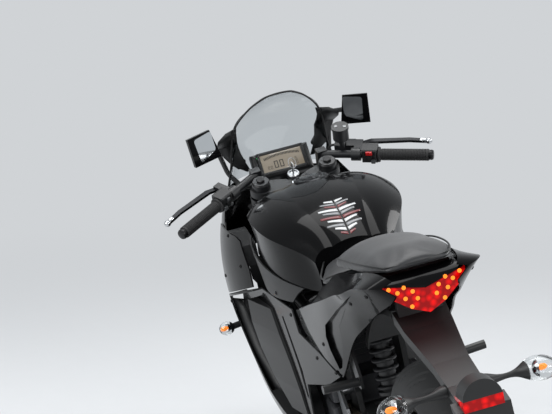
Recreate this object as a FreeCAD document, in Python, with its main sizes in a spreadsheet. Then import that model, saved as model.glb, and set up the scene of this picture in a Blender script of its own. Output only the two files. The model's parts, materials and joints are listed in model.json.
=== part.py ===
import FreeCAD, Part
import math
import os
from types import SimpleNamespace

import Sketcher
from FreeCAD import Placement, Rotation, Vector

# A sport bike with a full fairing, parked on its side stand with the steering turned a little to the left.
# Everything is drawn on the upright bike first: X forward, Y to the rider's left, Z up, with the
# origin on the ground halfway between the axles. The steered pieces are drawn in the fork's own frame:
# X ahead of the steering axis, Z up along it, from where that axis meets the ground.
# The last section leans the whole bike onto its stand.

doc = FreeCAD.newDocument("SportBike")
sheet = doc.addObject("Spreadsheet::Sheet", "size")

# Driving sizes, in millimetres and degrees: alias, value, meaning.
SIZES = (
    ("wheelbase", 1380, "axle to axle with straight steering"),
    ("rake", 25, "steering axis back from upright"),
    ("trail", 95, "ground contact behind the steering axis"),
    ("lean", 13.15, "lean to the left on the stand"),
    ("steer", 4.14, "steering turned to the left at rest"),
    ("gap", 0.3, "running clearance between pieces that turn on each other"),
    ("front_tyre_radius", 293, "front tyre, outer radius"),
    ("front_tyre_half", 55, "front tyre, half width"),
    ("front_crown", 58, "front tyre, radius of the tread across"),
    ("rear_tyre_radius", 314, "rear tyre, outer radius"),
    ("rear_tyre_half", 70, "rear tyre, half width"),
    ("rear_crown", 73, "rear tyre, radius of the tread across"),
    ("bead_radius", 222, "where tyre and rim meet"),
    ("flange_height", 9, "rim flange above the bead"),
    ("rim_depth", 17, "rim barrel below the bead"),
    ("front_rim_half", 42, "front rim, half width"),
    ("rear_rim_half", 56, "rear rim, half width"),
    ("spoke_count", 10, "spokes in a wheel"),
    ("spoke_root", 26, "spoke width at the hub"),
    ("spoke_tip", 16, "spoke width at the rim"),
    ("spoke_depth", 24, "spoke thickness across the wheel"),
    ("hub_radius", 34, "wheel hub"),
    ("front_hub_half", 50, "front hub, half width"),
    ("rear_hub_half", 64, "rear hub, half width"),
    ("axle_radius", 9, "both axles"),
    ("front_disc_radius", 149, "front brake disc"),
    ("rear_disc_radius", 110, "rear brake disc"),
    ("disc_band", 34, "width of the braking band"),
    ("disc_thick", 4.5, "brake disc thickness"),
    ("front_disc_offset", 62, "front disc to the wheel's middle"),
    ("rear_disc_offset", 84, "rear disc to the wheel's middle"),
    ("chain_pitch", 15.875, "chain pitch"),
    ("drive_teeth", 14, "teeth of the drive sprocket"),
    ("driven_teeth", 43, "teeth of the rear sprocket"),
    ("chain_line", 90, "chain to the middle of the bike"),
    ("chain_half", 8, "half width of the chain"),
    ("chain_height", 14, "height of a chain plate"),
    ("sprocket_thick", 6, "sprocket thickness"),
    ("drive_x", -45, "drive sprocket, place along the bike"),
    ("drive_z", 335, "drive sprocket, height"),
    ("fork_offset", 37.7, "fork tubes ahead of the steering axis"),
    ("fork_half", 98, "fork tubes to the middle"),
    ("outer_tube", 25, "fork outer tube, radius"),
    ("inner_tube", 18.5, "fork inner tube, radius"),
    ("fork_top", 976, "top of the fork tubes along the steering axis"),
    ("outer_end", 520, "lower end of the outer tubes"),
    ("lower_yoke_z", 736, "underside of the lower yoke"),
    ("lower_yoke_thick", 30, "lower yoke thickness"),
    ("top_yoke_z", 942, "underside of the top yoke"),
    ("top_yoke_thick", 18, "top yoke thickness"),
    ("stem_radius", 15, "steering stem"),
    ("stem_bore", 8, "bore in the top of the stem, radius"),
    ("stem_hole_depth", 60, "depth of the bore in the stem"),
    ("head_radius", 31, "head tube, outside"),
    ("bar_radius", 11, "handlebar tubes"),
    ("grip_radius", 16.5, "handlebar grips"),
    ("bar_height", 976, "handlebar tubes along the steering axis"),
    ("bar_sweep", 30, "handlebars swept back"),
    ("bar_half", 356, "bar ends to the middle"),
    ("grip_half", 236, "inner end of the grips to the middle"),
    ("pivot_x", -125, "swingarm pivot, place along the bike"),
    ("pivot_z", 365, "swingarm pivot, height"),
    ("pivot_radius", 24, "swingarm pivot tube"),
    ("plate_outer", 76, "frame plates, outer face to the middle"),
    ("plate_thick", 14, "frame plate thickness"),
    ("frame_tube", 15, "frame tube radius"),
    ("seat_tube", 11, "seat frame tube radius"),
    ("arm_half", 118, "swingarm arms to the middle at the axle"),
    ("arm_thick", 26, "swingarm arm, width"),
    ("arm_height", 54, "swingarm arm, height"),
    ("panel", 4, "thickness of the plastic panels"),
    ("disc_holes", 12, "holes in a brake disc"),
    ("stand_x", -60, "side stand pivot, place along the bike"),
    ("stand_y", 126, "side stand pivot, to the left"),
    ("stand_z", 214, "side stand pivot, height"),
    ("stand_foot_x", -26, "side stand foot, place along the bike"),
    ("stand_foot_y", 252, "side stand foot, to the left"),
    ("stand_radius", 10, "side stand leg radius"),
)
for row, (alias, value, meaning) in enumerate(SIZES, start=1):
    sheet.set(f"A{row}", meaning)
    sheet.set(f"B{row}", str(value))
    sheet.setAlias(f"B{row}", alias)
doc.recompute()
size = SimpleNamespace(**{alias: float(sheet.get(alias)) for alias, value, meaning in SIZES})

X = Vector(1, 0, 0)
Y = Vector(0, 1, 0)
Z = Vector(0, 0, 1)
LEFT = 1
RIGHT = -1
SIDES = (("left", LEFT), ("right", RIGHT))


# Shapes and features that the sub-parts share.

def number(expression):
    """Value of an expression on the sheet."""
    return float(sheet.evalExpression(str(expression)))


def new_body(label):
    """An empty body with a name."""
    body = doc.addObject("PartDesign::Body", label)
    body.Label = label
    return body


def origin_plane(body, role):
    """One of the body's own origin planes or axes."""
    return next(item for item in body.Origin.OriginFeatures if item.Role == role)


def outline(body, role, corners):
    """A closed sketch through corners given as sheet expressions (across, up), arcs by their radius.

    A third value in a corner is the radius of an arc to the next corner, positive to the right of travel.
    """
    sketch = body.newObject("Sketcher::SketchObject", "Outline")
    sketch.AttachmentSupport = [(origin_plane(body, role), "")]
    sketch.MapMode = "FlatFace"
    points = [Vector(number(corner[0]), number(corner[1]), 0) for corner in corners]
    for index, corner in enumerate(corners):
        start, end = points[index], points[(index + 1) % len(points)]
        if len(corner) == 3:
            radius = number(corner[2])
            chord = end - start
            side = Vector(chord.y, -chord.x, 0).normalize()
            rise = math.sqrt(radius ** 2 - chord.Length ** 2 / 4)
            centre = start + chord / 2 - side * math.copysign(rise, radius)
            top = centre + side * radius
            arc = Part.Arc(start, top, end)
            sketch.addGeometry(arc, False)
        else:
            sketch.addGeometry(Part.LineSegment(start, end), False)
    count = len(points)
    for index, corner in enumerate(corners):
        curve = sketch.Geometry[index]
        ends = (1, 2)
        if len(corner) == 3:
            if (curve.StartPoint - points[index]).Length > (curve.EndPoint - points[index]).Length:
                ends = (2, 1)
            place = sketch.addConstraint(Sketcher.Constraint("Radius", index, curve.Radius))
            bend = str(corner[2]).lstrip("-")
            sketch.setExpression(f"Constraints[{place}]", bend)
        for value, kind, part in ((corner[0], "DistanceX", "x"), (corner[1], "DistanceY", "y")):
            there = getattr(points[index], part)
            place = sketch.addConstraint(Sketcher.Constraint(kind, -1, 1, index, ends[0], there))
            sketch.setExpression(f"Constraints[{place}]", str(value))
        following = (index + 1) % count
        after = sketch.Geometry[following]
        joins = 1
        if len(corners[following]) == 3:
            target = points[following]
            if (after.StartPoint - target).Length > (after.EndPoint - target).Length:
                joins = 2
        sketch.addConstraint(Sketcher.Constraint("Coincident", index, ends[1], following, joins))
    return sketch


def circles(body, role, rows):
    """A sketch of circles given as sheet expressions (across, up, radius)."""
    sketch = body.newObject("Sketcher::SketchObject", "Circles")
    sketch.AttachmentSupport = [(origin_plane(body, role), "")]
    sketch.MapMode = "FlatFace"
    for index, (across, up, radius) in enumerate(rows):
        centre = Vector(number(across), number(up), 0)
        sketch.addGeometry(Part.Circle(centre, Z, number(radius)), False)
        place = sketch.addConstraint(Sketcher.Constraint("Radius", index, number(radius)))
        sketch.setExpression(f"Constraints[{place}]", str(radius))
        for value, kind, there in ((across, "DistanceX", centre.x), (up, "DistanceY", centre.y)):
            place = sketch.addConstraint(Sketcher.Constraint(kind, -1, 1, index, 3, there))
            sketch.setExpression(f"Constraints[{place}]", str(value))
    return sketch


def revolve(body, sketch):
    """Turn a profile about the body's Y axis."""
    feature = body.newObject("PartDesign::Revolution", "Revolution")
    feature.Profile = sketch
    feature.ReferenceAxis = (sketch, ["V_Axis"])
    feature.Angle = 360
    return feature


def pad(body, sketch, length, both_ways=True, flip=False):
    """Extrude a profile by a sheet expression."""
    feature = body.newObject("PartDesign::Pad", "Pad")
    feature.Profile = sketch
    feature.Midplane = both_ways
    feature.Reversed = flip
    feature.setExpression("Length", str(length))
    return feature


def pocket_through(body, sketch):
    """Cut a profile right through, both ways."""
    feature = body.newObject("PartDesign::Pocket", "Pocket")
    feature.Profile = sketch
    feature.Type = 1
    feature.Midplane = True
    return feature


def pattern_round(body, feature, count):
    """Repeat a feature about the body's Y axis."""
    repeat = body.newObject("PartDesign::PolarPattern", "Round")
    repeat.Originals = [feature]
    repeat.Axis = (origin_plane(body, "Y_Axis"), [""])
    repeat.Angle = 360
    repeat.setExpression("Occurrences", count)
    body.Tip = repeat
    return repeat


def rod(start, end, radius):
    """Round bar from point to point."""
    start, end = Vector(*start), Vector(*end)
    return Part.makeCylinder(radius, (end - start).Length, start, end - start)


def tube(points, radius, bend, bore=0):
    """Round tube along straight runs that are joined by tangent arcs."""
    points = [Vector(*point) for point in points]
    edges = []
    here = points[0]
    for before, corner, after in zip(points, points[1:], points[2:]):
        back = (before - corner).normalize()
        ahead = (after - corner).normalize()
        half = back.getAngle(ahead) / 2
        reach = bend / math.tan(half)
        reach = min(reach, 0.48 * (before - corner).Length, 0.48 * (after - corner).Length)
        inside = (back + ahead).normalize()
        arc_radius = reach * math.tan(half)
        middle = corner + inside * (arc_radius / math.sin(half) - arc_radius)
        edges.append(Part.LineSegment(here, corner + back * reach).toShape())
        edges.append(Part.Arc(corner + back * reach, middle, corner + ahead * reach).toShape())
        here = corner + ahead * reach
    edges.append(Part.LineSegment(here, points[-1]).toShape())
    path = Part.Wire(edges)
    heading = points[1] - points[0]

    def sweep(section_radius):
        ring = Part.Wire([Part.makeCircle(section_radius, points[0], heading)])
        return path.makePipeShell([ring], True, True)

    solid = sweep(radius)
    if bore:
        solid = solid.cut(sweep(bore))
    return solid


def block(x_range, y_range, z_range):
    """Box between two values on each axis."""
    spans = (x_range, y_range, z_range)
    low = [min(span) for span in spans]
    lengths = [abs(span[1] - span[0]) for span in spans]
    return Part.makeBox(*lengths, Vector(*low))


def side_plate(points, inner, outer):
    """Polygon given as (x, z), as thick as from y = inner to y = outer."""
    corners = [Vector(x, inner, z) for x, z in points]
    face = Part.Face(Part.makePolygon(corners + corners[:1]))
    return face.extrude(Vector(0, outer - inner, 0))


def section(points, arcs=()):
    """Closed wire through points; the span after each point named in arcs bulges through its value."""
    edges = []
    for index, start in enumerate(points):
        end = points[(index + 1) % len(points)]
        through = dict(arcs).get(index)
        if through is None:
            edges.append(Part.LineSegment(start, end).toShape())
        else:
            edges.append(Part.Arc(start, through, end).toShape())
    return Part.Wire(edges)


def loft(wires, ruled=False):
    """Solid through closed sections."""
    return Part.makeLoft(wires, True, ruled)


def mirrored(shape):
    """The same shape on the other side of the bike."""
    return shape.mirror(Vector(0, 0, 0), Y)


def both_sides(shape):
    """A left shape with its right twin, as one compound."""
    return Part.makeCompound([shape, mirrored(shape)])


def largest(shape):
    """The solid of a shape that holds the most."""
    return sorted(shape.Solids, key=lambda solid: solid.Volume)[-1]


def feature(label, shape):
    """A named object that holds a shape."""
    piece = doc.addObject("Part::Feature", label)
    piece.Label = label
    piece.Shape = shape
    return piece


# Where the main points lie on the upright bike.

REAR_AXLE = Vector(-size.wheelbase / 2, 0, size.rear_tyre_radius)
FRONT_AXLE = Vector(size.wheelbase / 2, 0, size.front_tyre_radius)
STEER_GROUND = Vector(size.wheelbase / 2 + size.trail, 0, 0)
STEER_POSE = Placement(STEER_GROUND, Rotation(Y, -size.rake))
WHEEL_IN_FORK = STEER_POSE.inverse().multVec(FRONT_AXLE)


def on_head(ahead, across, along):
    """Point of the upright bike given in the fork's frame with straight steering."""
    return STEER_POSE.multVec(Vector(ahead, across, along))


# Lean and pitch that put both tyres on the ground, with the steering turned.

TURN = Placement(Vector(0, 0, 0), Rotation(Z, size.steer))


def tyre_low_point(pose, centre, radius, crown):
    """Height of a leaning tyre's lowest point."""
    axis = pose.Rotation.multVec(Y)
    ring = radius - crown
    return pose.multVec(centre).z - ring * math.sqrt(1 - axis.z ** 2) - crown


def chassis_pose():
    """Placement of the leaning chassis, by a few steps of pitch and lift."""
    pitch = 0.0
    lift = 0.0
    for step in range(6):
        rotation = Rotation(X, -size.lean) * Rotation(Y, pitch)
        pose = Placement(Vector(0, 0, lift), rotation)
        rear = tyre_low_point(pose, REAR_AXLE, size.rear_tyre_radius, size.rear_crown)
        fork = pose * STEER_POSE * TURN
        front = tyre_low_point(fork, WHEEL_IN_FORK, size.front_tyre_radius, size.front_crown)
        lift -= (rear + front) / 2
        pitch += math.degrees((front - rear) / size.wheelbase)
    return Placement(Vector(0, 0, lift), Rotation(X, -size.lean) * Rotation(Y, pitch))


CHASSIS_POSE = chassis_pose()
FORK_POSE = CHASSIS_POSE * STEER_POSE * TURN

chassis = []
steering = []
front_wheel = []
rear_wheel = []
side_stand = []


# Wheels: cast rims with tapered spokes, tyres, discs and the rear sprocket.

def make_tyre(label, radius, half, crown, rim_half):
    """Tyre with a round tread and straight walls down to the bead."""
    body = new_body(label)
    shoulder = f"({radius} - {crown} + sqrt({crown}^2 - {half}^2))"
    lip = "size.bead_radius + size.flange_height"
    corners = (
        (shoulder, f"-{half}", f"{crown}"),
        (shoulder, half),
        (f"{lip} + 2", f"{rim_half} + 3"),
        (f"{lip} + 2", f"{rim_half} - 1.5"),
        ("size.bead_radius + size.gap", f"{rim_half} - 1.5"),
        ("size.bead_radius + size.gap", f"-{rim_half} + 1.5"),
        (f"{lip} + 2", f"-{rim_half} + 1.5"),
        (f"{lip} + 2", f"-{rim_half} - 3"),
    )
    revolve(body, outline(body, "XY_Plane", corners))
    return body


WHEELS = (
    # name, outer radius, half width, crown, rim half width, hub half width
    ("front", "size.front_tyre_radius", "size.front_tyre_half", "size.front_crown",
     "size.front_rim_half", "size.front_hub_half"),
    ("rear", "size.rear_tyre_radius", "size.rear_tyre_half", "size.rear_crown",
     "size.rear_rim_half", "size.rear_hub_half"),
)


def make_rim(label, rim_half, hub_half):
    """Cast wheel: barrel with flanges, hub and tapered spokes."""
    body = new_body(label)
    inner = "size.bead_radius - size.rim_depth"
    floor = "size.bead_radius - size.rim_depth + 5"
    lip = "size.bead_radius + size.flange_height"
    barrel = (
        (inner, f"-{rim_half} + 12"),
        ("size.bead_radius - 6", f"-{rim_half}"),
        (lip, f"-{rim_half} - 4"),
        (lip, f"-{rim_half}"),
        ("size.bead_radius", f"-{rim_half} + 1"),
        ("size.bead_radius", f"-{rim_half} + 14"),
        (floor, f"-{rim_half} + 24"),
        (floor, f"{rim_half} - 24"),
        ("size.bead_radius", f"{rim_half} - 14"),
        ("size.bead_radius", f"{rim_half} - 1"),
        (lip, rim_half),
        (lip, f"{rim_half} + 4"),
        ("size.bead_radius - 6", rim_half),
        (inner, f"{rim_half} - 12"),
    )
    revolve(body, outline(body, "XY_Plane", barrel))
    spoke = (
        ("size.hub_radius - 8", "-size.spoke_root / 2"),
        (f"{inner} + 2", "-size.spoke_tip / 2"),
        (f"{inner} + 2", "size.spoke_tip / 2"),
        ("size.hub_radius - 8", "size.spoke_root / 2"),
    )
    arm = pad(body, outline(body, "XZ_Plane", spoke), "size.spoke_depth")
    pattern_round(body, arm, "size.spoke_count")
    hub = (
        ("size.axle_radius + size.gap", f"-{hub_half}"),
        ("size.hub_radius - 6", f"-{hub_half}"),
        ("size.hub_radius", f"-{hub_half} + 14"),
        ("size.hub_radius", f"{hub_half} - 14"),
        ("size.hub_radius - 6", hub_half),
        ("size.axle_radius + size.gap", hub_half),
    )
    revolve(body, outline(body, "XY_Plane", hub))
    bore = circles(body, "XZ_Plane", (("0", "0", "size.axle_radius + size.gap"),))
    pocket_through(body, bore)
    return body


def make_disc(label, radius, offset, inner):
    """Brake disc with a braking band, drilled, on arms that reach the hub."""
    body = new_body(label)
    band = (
        (f"{radius} - size.disc_band", f"{offset} - size.disc_thick / 2"),
        (radius, f"{offset} - size.disc_thick / 2"),
        (radius, f"{offset} + size.disc_thick / 2"),
        (f"{radius} - size.disc_band", f"{offset} + size.disc_thick / 2"),
    )
    revolve(body, outline(body, "XY_Plane", band))
    carrier = (
        ("size.axle_radius + 12", f"{inner}"),
        ("size.hub_radius - 7", f"{inner}"),
        ("size.hub_radius + 4", f"{offset} + size.disc_thick / 2"),
        ("size.hub_radius + 4", f"{offset} - size.disc_thick / 2"),
        ("size.axle_radius + 12", f"{offset} - size.disc_thick / 2"),
    )
    revolve(body, outline(body, "XY_Plane", carrier))
    arm = (
        ("size.hub_radius", "-11"),
        (f"{radius} - size.disc_band + 4", "-8"),
        (f"{radius} - size.disc_band + 4", "8"),
        ("size.hub_radius", "11"),
    )
    sketch = outline(body, "XZ_Plane", arm)
    sketch.AttachmentOffset = Placement(Vector(0, 0, -number(offset)), Rotation())
    spoke = pad(body, sketch, "size.disc_thick")
    pattern_round(body, spoke, "6")
    hole = circles(body, "XZ_Plane", ((f"{radius} - size.disc_band / 2", "0", "4"),))
    drilled = pocket_through(body, hole)
    pattern_round(body, drilled, "size.disc_holes")
    return body


FRONT_POSE = FORK_POSE * Placement(WHEEL_IN_FORK, Rotation())
REAR_POSE = CHASSIS_POSE * Placement(REAR_AXLE, Rotation())

for name, radius, half, crown, rim_half, hub_half in WHEELS:
    group = front_wheel if name == "front" else rear_wheel
    group.append(make_tyre(f"{name}_tyre", radius, half, crown, rim_half))
    group.append(make_rim(f"{name}_rim", rim_half, hub_half))
front_wheel.append(make_disc("front_disc", "size.front_disc_radius", "-size.front_disc_offset",
                             "-size.front_hub_half"))
rear_wheel.append(make_disc("rear_disc", "size.rear_disc_radius", "-size.rear_disc_offset",
                            "-size.rear_hub_half"))

# Chain and sprockets. The chain is a fixed loop, so the teeth stop short of its rollers.

DRIVEN_RADIUS = size.chain_pitch / (2 * math.sin(math.pi / size.driven_teeth))
DRIVE_RADIUS = size.chain_pitch / (2 * math.sin(math.pi / size.drive_teeth))
ROLLER_RADIUS = 5.1
TOOTH_GAP = 0.6


def sprocket(pitch_radius, teeth, bore, thick):
    """Toothed wheel about the Y axis, with round gullets between straight teeth."""
    count = int(round(teeth))
    tip = pitch_radius - ROLLER_RADIUS - TOOTH_GAP
    root = tip - 5
    corners = []
    for tooth in range(count):
        for share, radius in ((0.0, root), (0.28, root), (0.52, tip), (0.76, tip)):
            angle = 2 * math.pi * (tooth + share) / count
            corners.append(Vector(radius * math.cos(angle), 0, radius * math.sin(angle)))
    face = Part.Face(Part.makePolygon(corners + corners[:1]))
    wheel = face.extrude(Vector(0, thick, 0))
    return wheel.cut(Part.makeCylinder(bore, thick, Vector(0, 0, 0), Y))


rear_sprocket = sprocket(DRIVEN_RADIUS, size.driven_teeth, size.hub_radius - 6, size.sprocket_thick)
rear_sprocket.translate(Vector(0, size.chain_line - size.sprocket_thick / 2, 0))
web_cut = Part.makeCylinder(11, 40, Vector(68, size.chain_line - 20, 0), Y)
for index in range(6):
    slot = web_cut.copy()
    slot.rotate(Vector(0, 0, 0), Y, 60 * index)
    rear_sprocket = rear_sprocket.cut(slot)
carrier_length = size.chain_line - size.sprocket_thick / 2 - size.rear_hub_half
carrier = Part.makeCylinder(54, carrier_length, Vector(0, size.rear_hub_half, 0), Y)
carrier = carrier.cut(Part.makeCylinder(size.axle_radius + size.gap, 60, Vector(0, 50, 0), Y))
rear_wheel.append(feature("rear_sprocket", rear_sprocket.fuse(carrier)))

DRIVE_CENTRE = Vector(size.drive_x, size.chain_line, size.drive_z)
DRIVEN_CENTRE = Vector(REAR_AXLE.x, size.chain_line, REAR_AXLE.z)


def belt_face(offset):
    """Face inside the loop round both sprockets, its radii larger by offset."""
    run = DRIVEN_CENTRE - DRIVE_CENTRE
    small, large = DRIVE_RADIUS + offset, DRIVEN_RADIUS + offset
    along = Vector(run).normalize()
    up = Vector(-along.z, 0, along.x)
    if up.z < 0:
        up = up * -1
    sine = (large - small) / run.Length
    cosine = math.sqrt(1 - sine ** 2)
    top_way = up * cosine - along * sine
    low_way = up * -cosine - along * sine
    edges = [
        Part.Arc(DRIVE_CENTRE + low_way * small, DRIVE_CENTRE - along * small,
                 DRIVE_CENTRE + top_way * small).toShape(),
        Part.LineSegment(DRIVE_CENTRE + top_way * small, DRIVEN_CENTRE + top_way * large).toShape(),
        Part.Arc(DRIVEN_CENTRE + top_way * large, DRIVEN_CENTRE + along * large,
                 DRIVEN_CENTRE + low_way * large).toShape(),
        Part.LineSegment(DRIVEN_CENTRE + low_way * large, DRIVE_CENTRE + low_way * small).toShape(),
    ]
    return Part.Face(Part.Wire(edges))


def chain_band(inner, outer, start, thick):
    """Band of the chain loop between two offsets from the pitch line."""
    face = belt_face(outer).cut(belt_face(inner))
    face.translate(Vector(0, start - size.chain_line, 0))
    return face.extrude(Vector(0, thick, 0))


half_plate = size.chain_height / 2
core = chain_band(-ROLLER_RADIUS, ROLLER_RADIUS, size.chain_line - 4, 8)
plates = [chain_band(-half_plate, half_plate, start, 4) for start in
          (size.chain_line - size.chain_half, size.chain_line + size.chain_half - 4)]
chassis.append(feature("chain", core.fuse(plates)))

drive_sprocket = sprocket(DRIVE_RADIUS, size.drive_teeth, 8, size.sprocket_thick)
drive_sprocket.translate(Vector(size.drive_x, size.chain_line - size.sprocket_thick / 2, size.drive_z))
output_shaft = Part.makeCylinder(8, 34, Vector(size.drive_x, size.chain_line - 26, size.drive_z), Y)

# Fork, yokes and front brake, in the fork's frame.

WHEEL_Z = WHEEL_IN_FORK.z
fork_x = size.fork_offset
for name, side in SIDES:
    y = side * size.fork_half
    outer = rod((fork_x, y, size.outer_end), (fork_x, y, size.fork_top), size.outer_tube)
    collar = rod((fork_x, y, size.outer_end), (fork_x, y, size.outer_end + 26), size.outer_tube + 2.5)
    cap = rod((fork_x, y, size.fork_top), (fork_x, y, size.fork_top + 6), size.outer_tube - 3)
    nut = rod((fork_x, y, size.fork_top + 6), (fork_x, y, size.fork_top + 12), 9)
    bore = rod((fork_x, y, size.outer_end), (fork_x, y, size.outer_end + 200), size.inner_tube + 0.2)
    steering.append(feature(f"fork_outer_{name}", outer.fuse([collar, cap, nut]).cut(bore)))
    inner = rod((fork_x, y, WHEEL_Z + 40), (fork_x, y, size.outer_end + 195), size.inner_tube)
    shoe = rod((fork_x, y, WHEEL_Z + 30), (fork_x, y, WHEEL_Z + 96), size.inner_tube + 5)
    lug_inner = size.front_disc_offset + 12 if name == "right" else size.front_hub_half + 12
    lug_outer = size.fork_half + 20
    lug = Part.makeCylinder(24, lug_outer - lug_inner, Vector(fork_x, lug_inner, WHEEL_Z), Y)
    if side == RIGHT:
        lug = mirrored(lug)
    web = block((fork_x - 20, fork_x + 20), (side * (size.fork_half - 14), side * (size.fork_half + 14)),
                (WHEEL_Z, WHEEL_Z + 40))
    axle_hole = Part.makeCylinder(size.axle_radius + 0.1, 400, Vector(fork_x, -200, WHEEL_Z), Y)
    steering.append(feature(f"fork_lower_{name}", inner.fuse([shoe, lug, web]).cut(axle_hole)))

axle_end = size.fork_half + 26
axle = Part.makeCylinder(size.axle_radius, 2 * axle_end, Vector(fork_x, -axle_end, WHEEL_Z), Y)
heads = [Part.makeCylinder(14, 8, Vector(fork_x, place, WHEEL_Z), Y) for place in
         (-size.fork_half - 28.2, size.fork_half + 20.2)]
sleeves = [Part.makeCylinder(13, length, Vector(fork_x, start, WHEEL_Z), Y) for start, length in
           ((size.front_hub_half + 0.3, 11.5),
            (-size.front_disc_offset - 11.8, 11.8 - size.disc_thick / 2 - 0.3))]
steering.append(feature("front_axle", axle.fuse(heads + sleeves)))


def yoke(z, thick, tail, clamp):
    """Fork bridge with two clamps and a web to the steering stem."""
    web = (
        (-30, 24), (tail, 40), (fork_x - clamp + 4, size.fork_half), (fork_x + clamp - 4, size.fork_half),
        (fork_x + 12, 40), (24, 0),
    )
    points = [Vector(x, y, z) for x, y in web] + [Vector(x, -y, z) for x, y in web[-2::-1]]
    shape = Part.Face(Part.makePolygon(points + points[:1])).extrude(Vector(0, 0, thick))
    rings = [rod((fork_x, side * size.fork_half, z), (fork_x, side * size.fork_half, z + thick), clamp)
             for side in (LEFT, RIGHT)]
    eye = rod((0, 0, z), (0, 0, z + thick), 30)
    shape = shape.fuse(rings + [eye])
    for side in (LEFT, RIGHT):
        hole = rod((fork_x, side * size.fork_half, z - 1), (fork_x, side * size.fork_half, z + thick + 1),
                   size.outer_tube + 0.1)
        shape = shape.cut(hole)
    return shape


lower = yoke(size.lower_yoke_z, size.lower_yoke_thick, -14, size.outer_tube + 9)
stem_foot = size.lower_yoke_z - 4
stem_top = size.top_yoke_z + size.top_yoke_thick + 4
stem = rod((0, 0, stem_foot), (0, 0, stem_top), size.stem_radius)
stem_hole = rod((0, 0, stem_top - size.stem_hole_depth), (0, 0, stem_top + 1), size.stem_bore)
steering.append(feature("lower_yoke", lower.fuse(stem).cut(stem_hole)))
upper = yoke(size.top_yoke_z, size.top_yoke_thick, -26, size.outer_tube + 7)
upper = upper.cut(rod((0, 0, size.top_yoke_z - 1), (0, 0, size.top_yoke_z + 40), size.stem_radius + 0.1))
steering.append(feature("top_yoke", upper))
nut_z = size.top_yoke_z + size.top_yoke_thick
stem_nut = rod((0, 0, nut_z), (0, 0, nut_z + 9), 19).cut(rod((0, 0, nut_z), (0, 0, nut_z + 9), 15.1))
steering.append(feature("stem_nut", stem_nut))

# Front brake caliper on the right leg, behind the fork, with a slot for the disc.

CALIPER_TURN = Placement(Vector(fork_x, 0, WHEEL_Z), Rotation(Y, 36))
disc_y = -size.front_disc_offset


def caliper(disc_place, radius, half_width, length, height):
    """Brake caliper over a disc in the XZ plane, its middle at -X from the axle."""
    reach = radius - size.disc_band / 2
    outside = block((-reach - height / 2, -reach + height / 2),
                    (disc_place - half_width, disc_place + half_width), (-length / 2, length / 2))
    slot = Part.makeCylinder(radius + 5, size.disc_thick + 10,
                             Vector(0, disc_place - size.disc_thick / 2 - 5, 0), Y)
    return outside.makeFillet(6, [edge for edge in outside.Edges if edge.Length > length - 1]).cut(slot)


front_caliper = caliper(disc_y, size.front_disc_radius, 23, 96, 62)
front_caliper.Placement = CALIPER_TURN
leg_space = rod((fork_x, -size.fork_half, WHEEL_Z - 30), (fork_x, -size.fork_half, WHEEL_Z + 97),
                size.inner_tube + 5.3)
bracket = block((fork_x - 92, fork_x - 14), (-size.fork_half - 2, -size.fork_half + 16),
                (WHEEL_Z + 44, WHEEL_Z + 94))
leg = next(piece for piece in steering if piece.Label == "fork_lower_right").Shape
front_caliper = front_caliper.cut(leg_space).fuse(bracket.cut(leg))
steering.append(feature("front_caliper", front_caliper))

# Front mudguard: an arched blade over the tyre, carried by ears on the fork legs.

guard_radius = size.front_tyre_radius + 9
arch_angles = (200, 40)


def arched_guard(centre, radius, thick, half, start, end, drop):
    """Blade round a wheel from start to end degrees (from +X over the top), folded down at its edges."""
    hub = Vector(centre)
    solids = []
    outer_ring = Part.makeCylinder(radius + thick, 2 * half, hub - Vector(0, half, 0), Y)
    inner_ring = Part.makeCylinder(radius, 2 * half, hub - Vector(0, half, 0), Y)
    crown = outer_ring.cut(inner_ring)
    wall_ring = Part.makeCylinder(radius + thick, 2 * half, hub - Vector(0, half, 0), Y)
    wall_core = Part.makeCylinder(radius - drop, 2 * half, hub - Vector(0, half, 0), Y)
    walls = wall_ring.cut(wall_core)
    walls = walls.cut(block((hub.x - 500, hub.x + 500), (-half + thick, half - thick),
                            (hub.z - 500, hub.z + 500)))
    shape = crown.fuse(walls)
    far = 3 * radius
    corners = [Vector(hub.x, -half - 5, hub.z)]
    steps = 6
    for step in range(steps + 1):
        angle = math.radians(start + (end - start) * step / steps)
        corners.append(Vector(hub.x + far * math.cos(angle), -half - 5, hub.z + far * math.sin(angle)))
    wedge = Part.Face(Part.makePolygon(corners + corners[:1])).extrude(Vector(0, 2 * half + 10, 0))
    return shape.common(wedge)


front_guard = arched_guard((fork_x, 0, WHEEL_Z), guard_radius, 3, size.front_tyre_half + 9, 22, 122, 40)
ears = []
for name, side in SIDES:
    ear = block((fork_x - 40, fork_x + 40), (side * (size.front_tyre_half + 6), side * (size.fork_half - 18)),
                (WHEEL_Z + 250, WHEEL_Z + 285))
    ears.append(ear)
guard = front_guard.fuse(ears)
for piece in steering:
    if piece.Label.startswith("fork_outer") or piece.Label.startswith("fork_lower"):
        guard = guard.cut(piece.Shape)
steering.append(feature("front_mudguard", largest(guard)))

# Handlebars: clip-ons clamped under the top yoke, drawn along the left bar and mirrored.
# In the bar's frame Y runs inwards from the bar's end and -X is ahead of it.

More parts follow.
